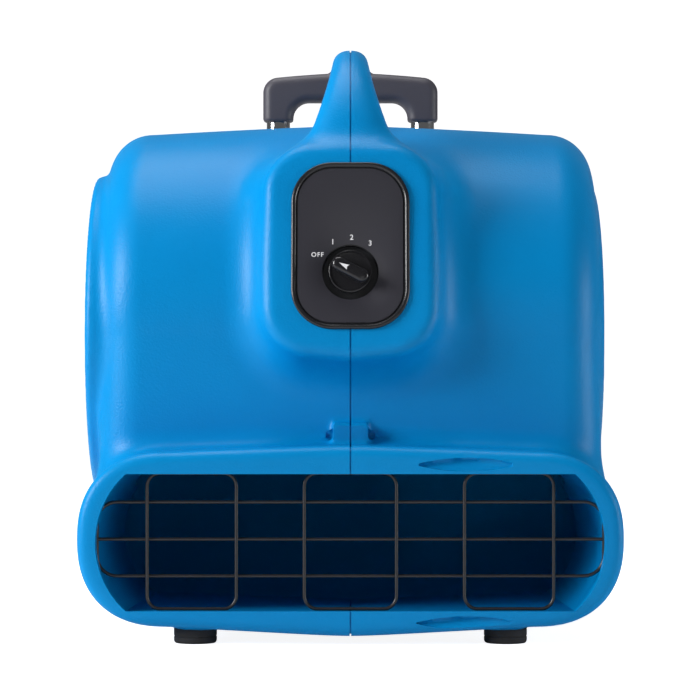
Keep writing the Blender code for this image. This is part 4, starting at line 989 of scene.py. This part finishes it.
def grip_field(x, depth, z):
    """An inverted U with a crowned top: the hull of bar and legs, less the finger gap, its edges rounded."""
    side = np.sqrt(x * x + 1e-6)
    crown = GRIP_TOP - (GRIP_TOP - GRIP_SHOULDER) * np.clip(side / LEG_OUT, 0, 1) ** 1.6
    outline = rounded_pair(side - LEG_OUT, z - crown, GRIP_CORNER)
    outline = np.maximum(outline, -rounded_pair(side - LEG_IN, z - GRIP_UNDER, GAP_CORNER))
    faces = np.abs(depth - (GRIP_FRONT + GRIP_BACK) / 2) - (GRIP_BACK - GRIP_FRONT) / 2
    body = rounded_pair(outline, faces, GRIP_EDGE)
    body = rounded_pair(body, LEG_FOOT - z, FOOT_EDGE)
    surround = rounded_box((x, depth, z), (-0.0195, TUBE_DEPTH_AT - 0.011, 0.490),
                           (0.0195, TUBE_DEPTH_AT + 0.011, 0.5035), 0.003)
    return smooth_union(body, surround, 0.003)


def grip_pockets(x, depth, z):
    """The pockets of the button and its spring and the two tube bores, as plastic less these hollows."""
    pocket = rounded_box((x, depth, z), (-0.0155, TUBE_DEPTH_AT - 0.0075, 0.4850),
                         (0.0155, TUBE_DEPTH_AT + 0.0075, 0.5200), 0.0030)
    bore = np.maximum(np.hypot(np.abs(x) - TUBE_X, depth - TUBE_DEPTH_AT) - 0.0114, z - 0.475)
    spring = np.maximum(np.hypot(x, depth - TUBE_DEPTH_AT) - 0.0054, np.abs(z - 0.484) - 0.0055)
    return -np.minimum(np.minimum(pocket, bore), spring)


def skin_of(name, surfaces, lines, material):
    """The skin of the space where all surfaces are negative, made the housing's way but without a seam."""
    grid = np.meshgrid(*lines, indexing="ij")
    kinds, crossings, rings, forwards = crossings_of([surface(*grid) for surface in surfaces], lines)
    used, ring_cell = np.unique(rings, return_inverse=True)
    ring_cell = ring_cell.reshape(rings.shape)
    hits, total = np.zeros((len(surfaces), len(used))), np.zeros((len(used), 3))
    for corner in range(4):
        np.add.at(hits, (kinds, ring_cell[:, corner]), 1)
        np.add.at(total, ring_cell[:, corner], crossings)
    point = list((total / hits.sum(axis=0)[:, None]).T)
    free = np.zeros(len(used), bool)
    for _ in range(5):
        for number, surface in enumerate(surfaces):
            chosen = np.flatnonzero(hits[number] > 0)
            moved = push_to(surface, [p[chosen] for p in point], free[chosen], (lines[0][1] - lines[0][0]) / 2)
            for axis in range(3):
                point[axis] = point[axis].copy()
                point[axis][chosen] = moved[axis]
    quads = np.where(forwards[:, None], ring_cell, ring_cell[:, ::-1])
    return put_mesh(name, np.stack(point, 1) + (0, RIM_FRONT, 0), quads, material)


GRIP_BLACK = grained_plastic("soft-touch grip plastic", (0.062, 0.058, 0.074), (0.048, 0.045, 0.058), 0.50, 0.5,
                             0.0011, 0.00030)
grip_lines = [start + GRIP_CELL * np.arange(int(length / GRIP_CELL) + 3) for start, length in
              ((-0.0868, 0.1730), (0.4333, 0.0355), (0.4522, 0.0555))]
grip = skin_of("pull_grip", (grip_field, grip_pockets), grip_lines, GRIP_BLACK)
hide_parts("telescopic_grip")
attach(grip, "handle")

# (height, inset), from the hollow over the spring, down inside and up the outside to the domed top
button_rows = [(0.4978, 0.0016), (0.4935, 0.0016), (0.4935, 0.0), (0.5040, 0.0), (0.5049, 0.0003),
               (0.5053, 0.0010), (0.5055, 0.0022)]
button_outlines = []
for height, inset in button_rows:
    flat = rounded_loop((-0.0149 + inset, -0.0069 + inset), (0.0149 - inset, 0.0069 - inset), 0.0032 - inset, 6)
    button_outlines.append(np.column_stack([flat[:, 0], flat[:, 1] + RIM_FRONT + TUBE_DEPTH_AT,
                                            np.full(len(flat), height)]))
button = put_solid("grip_button", [capped(button_outlines)], BLACK)
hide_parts("release_button")
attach(button, "button")


def brushed_metal(name, colour, roughness, spread, scale):
    """Bare metal whose gloss varies in fine streaks and which is a little duller in cloudy patches."""
    material, nodes, links, shader = plain_finish(name, colour, roughness, 1.0)
    place = nodes.new("ShaderNodeTexCoord")
    stretch = nodes.new("ShaderNodeMapping")
    stretch.inputs["Scale"].default_value = scale
    streak = nodes.new("ShaderNodeTexNoise")
    streak.inputs["Scale"].default_value = 900
    streak.inputs["Detail"].default_value = 3
    gloss = nodes.new("ShaderNodeMapRange")
    gloss.inputs["To Min"].default_value = max(roughness - spread, 0.03)
    gloss.inputs["To Max"].default_value = roughness + spread
    bump = nodes.new("ShaderNodeBump")
    bump.inputs["Strength"].default_value = 0.12
    bump.inputs["Distance"].default_value = 0.00008
    links.new(place.outputs["Object"], stretch.inputs["Vector"])
    links.new(stretch.outputs["Vector"], streak.inputs["Vector"])
    links.new(streak.outputs["Fac"], gloss.inputs["Value"])
    links.new(gloss.outputs["Result"], shader.inputs["Roughness"])
    links.new(streak.outputs["Fac"], bump.inputs["Height"])
    links.new(bump.outputs["Normal"], shader.inputs["Normal"])
    return material


CHROME = brushed_metal("chromed tube", (0.80, 0.81, 0.83), 0.09, 0.03, (1, 1, 0.02))
for side, sign in (("left", -1), ("right", 1)):
    for name, body, radius in (("inner", "handle", 0.0111), ("outer", "frame", 0.0127)):
        low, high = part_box(f"{name}_tube_{side}")
        ring = fillet([(low[2], radius - 0.0013), (low[2], radius), (high[2], radius), (high[2], radius - 0.0013)],
                      (0.0003,) * 4, 3)
        tube = put_solid(f"{name}_slide_tube_{side}", [turned(
            ring, np.array([sign * TUBE_X, RIM_FRONT + TUBE_DEPTH_AT, 0]), (0, 0, 1), CHROME_SIDES)], CHROME)
        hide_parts(f"{name}_tube_{side}")
        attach(tube, body)

# ---------------------------------------------------------------------------------------------------
# Wheels: black moulded wheels with six ribs a side, each in a grooved rubber tyre, on a steel axle.
# ---------------------------------------------------------------------------------------------------
AXLE_AT = np.array([0, RIM_FRONT + AXLE_DEPTH, AXLE_HEIGHT])
RIBS = 6
RUBBER = grained_plastic("black tyre rubber", (0.020, 0.020, 0.021), (0.013, 0.013, 0.014), 0.78, 0.5,
                         0.0014, 0.0003)
hub_profile = fillet([(0.1846, 0.0063), (0.1846, 0.0138), (0.2035, 0.0150), (0.2045, 0.0330), (0.1947, 0.0347),
                      (0.1947, 0.0397), (0.2173, 0.0397), (0.2173, 0.0347), (0.2075, 0.0330), (0.2085, 0.0150),
                      (0.2190, 0.0138), (0.2190, 0.0063)],
                     (0.0004, 0.0012, 0.0020, 0.0025, 0.0012, 0.0002, 0.0002, 0.0012, 0.0025, 0.0020, 0.0012,
                      0.0004), 4)
tread = []
for groove in np.linspace(0.2005, 0.2115, 4):
    tread += [(groove - 0.0008, 0.0498), (groove - 0.0005, 0.0482),
              (groove + 0.0005, 0.0482), (groove + 0.0008, 0.0498)]
tyre_profile = np.array([(0.1945, 0.0400), (0.1938, 0.0425), (0.1935, 0.0445), (0.1941, 0.0467), (0.1955, 0.0483),
                         (0.1975, 0.0494), (0.1990, 0.0499)] + tread +
                        [(0.2130, 0.0499), (0.2145, 0.0494), (0.2165, 0.0483), (0.2179, 0.0467), (0.2185, 0.0445),
                         (0.2182, 0.0425), (0.2175, 0.0400)])
tyre_profile[:, 1] += 0.0001
for side, sign in (("left", -1), ("right", 1)):
    wheel_parts = [turned(hub_profile, AXLE_AT, (sign, 0, 0), 72)]
    for rib in range(RIBS):
        bearing = 2 * math.pi * rib / RIBS
        ray = np.array([0, math.cos(bearing), math.sin(bearing)])
        beside = np.array([0, -math.sin(bearing), math.cos(bearing)])
        outline = np.array([(0.0135, -0.0016), (0.0352, -0.0012), (0.0352, 0.0012), (0.0135, 0.0016)])
        wheel_parts.append(capped([AXLE_AT + (sign * along, 0, 0) + outline[:, :1] * ray + outline[:, 1:] * beside
                                   for along in (0.1985, 0.2135)]))
    wheel = put_solid(f"wheel_hub_{side}", wheel_parts, BLACK)
    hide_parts(f"wheel_{side}")
    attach(wheel, f"roller_{side}")
    tyre = put_solid(f"tread_tyre_{side}", [turned(tyre_profile, AXLE_AT, (sign, 0, 0), 96)], RUBBER)
    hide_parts(f"tyre_{side}")
    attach(tyre, f"roller_{side}")

# ---------------------------------------------------------------------------------------------------
# Feet: four rubber pads with a groove round them, under the posts below the outlet and the scroll.
# ---------------------------------------------------------------------------------------------------
foot_profile = [(0, 0), (0, 0.0118), (0.0008, 0.0122), (0.0008, 0.0140), (0, 0.0144), (0, 0.0160),
                (0.0006, 0.0168), (0.0016, 0.0173), (0.0030, 0.0175), (0.0050, 0.0175), (0.0054, 0.0171),
                (0.0060, 0.0171),
                (0.0064, 0.0175), (0.0112, 0.0175), (0.0118, 0.0172), (0.0120, 0.0166), (0.0120, 0)]
for end in ("front", "rear"):
    for side in ("left", "right"):
        low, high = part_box(f"{end}_foot_{side}")
        centre = np.array([(low[0] + high[0]) / 2, (low[1] + high[1]) / 2, 0])
        pad = turned(foot_profile, centre, (0, 0, 1), 64, closed=False)
        foot = put_solid(f"rubber_foot_{end}_{side}", [pad], RUBBER)
        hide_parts(f"{end}_foot_{side}")
        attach(foot, "frame")

# ---------------------------------------------------------------------------------------------------
# Motor, fasteners and small fittings keep their CAD shapes: painted steel stator, cast aluminium end
# bells and hub, laminated iron core, zinc-plated screws, pins and axle, black brackets and bushes.
# ---------------------------------------------------------------------------------------------------
STEEL = brushed_metal("zinc-plated steel", (0.56, 0.57, 0.58), 0.30, 0.09, (1, 1, 1))
ALUMINIUM = brushed_metal("cast aluminium", (0.58, 0.59, 0.61), 0.44, 0.12, (0.6, 0.6, 0.6))
CAN = brushed_metal("drawn aluminium can", (0.48, 0.49, 0.51), 0.28, 0.08, (1, 0.05, 0.05))
MOTOR_PAINT = grained_plastic("motor enamel", (0.030, 0.032, 0.036), (0.022, 0.024, 0.027), 0.36, 0.35,
                              0.0022, 0.0002)


def laminated_iron():
    """Stacked sheets: fine dark lines across the shaft on dull iron."""
    material, nodes, links, shader = plain_finish("laminated iron", (0.24, 0.24, 0.25), 0.5, 1.0)
    place = nodes.new("ShaderNodeTexCoord")
    sheets = nodes.new("ShaderNodeTexWave")
    sheets.bands_direction = "X"
    sheets.inputs["Scale"].default_value = 320
    tone = nodes.new("ShaderNodeMix")
    tone.data_type = "RGBA"
    tone.inputs["A"].default_value = (0.08, 0.08, 0.085, 1)
    tone.inputs["B"].default_value = (0.27, 0.27, 0.28, 1)
    links.new(place.outputs["Object"], sheets.inputs["Vector"])
    links.new(sheets.outputs["Fac"], tone.inputs["Factor"])
    links.new(tone.outputs["Result"], shader.inputs["Base Color"])
    return material


IRON = laminated_iron()
carried = {
    STEEL: ("axle", "axle_cap_left", "axle_cap_right", "bearing_inner", "bearing_outer", "button_spring",
            "capacitor_clip", "hub_set_screw", "lock_pin_left", "lock_pin_right", "lower_bracket_screw_left",
            "lower_bracket_screw_right", "motor_mount", "motor_shaft", "seam_screw_back", "seam_screw_base",
            "seam_screw_front", "seam_screw_handle", "switch_nut", "switch_shaft", "upper_bracket_screw_left",
            "upper_bracket_screw_right"),
    ALUMINIUM: ("end_bell_inner", "end_bell_outer", "fan_hub"),
    CAN: ("run_capacitor",),
    MOTOR_PAINT: ("motor_stator",),
    IRON: ("rotor_core",),
    BLACK: ("cord_gland", "lower_bracket", "rotary_switch", "tube_bush_left", "tube_bush_right", "upper_bracket"),
}
for material, names in carried.items():
    for name in names:
        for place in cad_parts[name].material_slots:
            place.material = material

low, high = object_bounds()
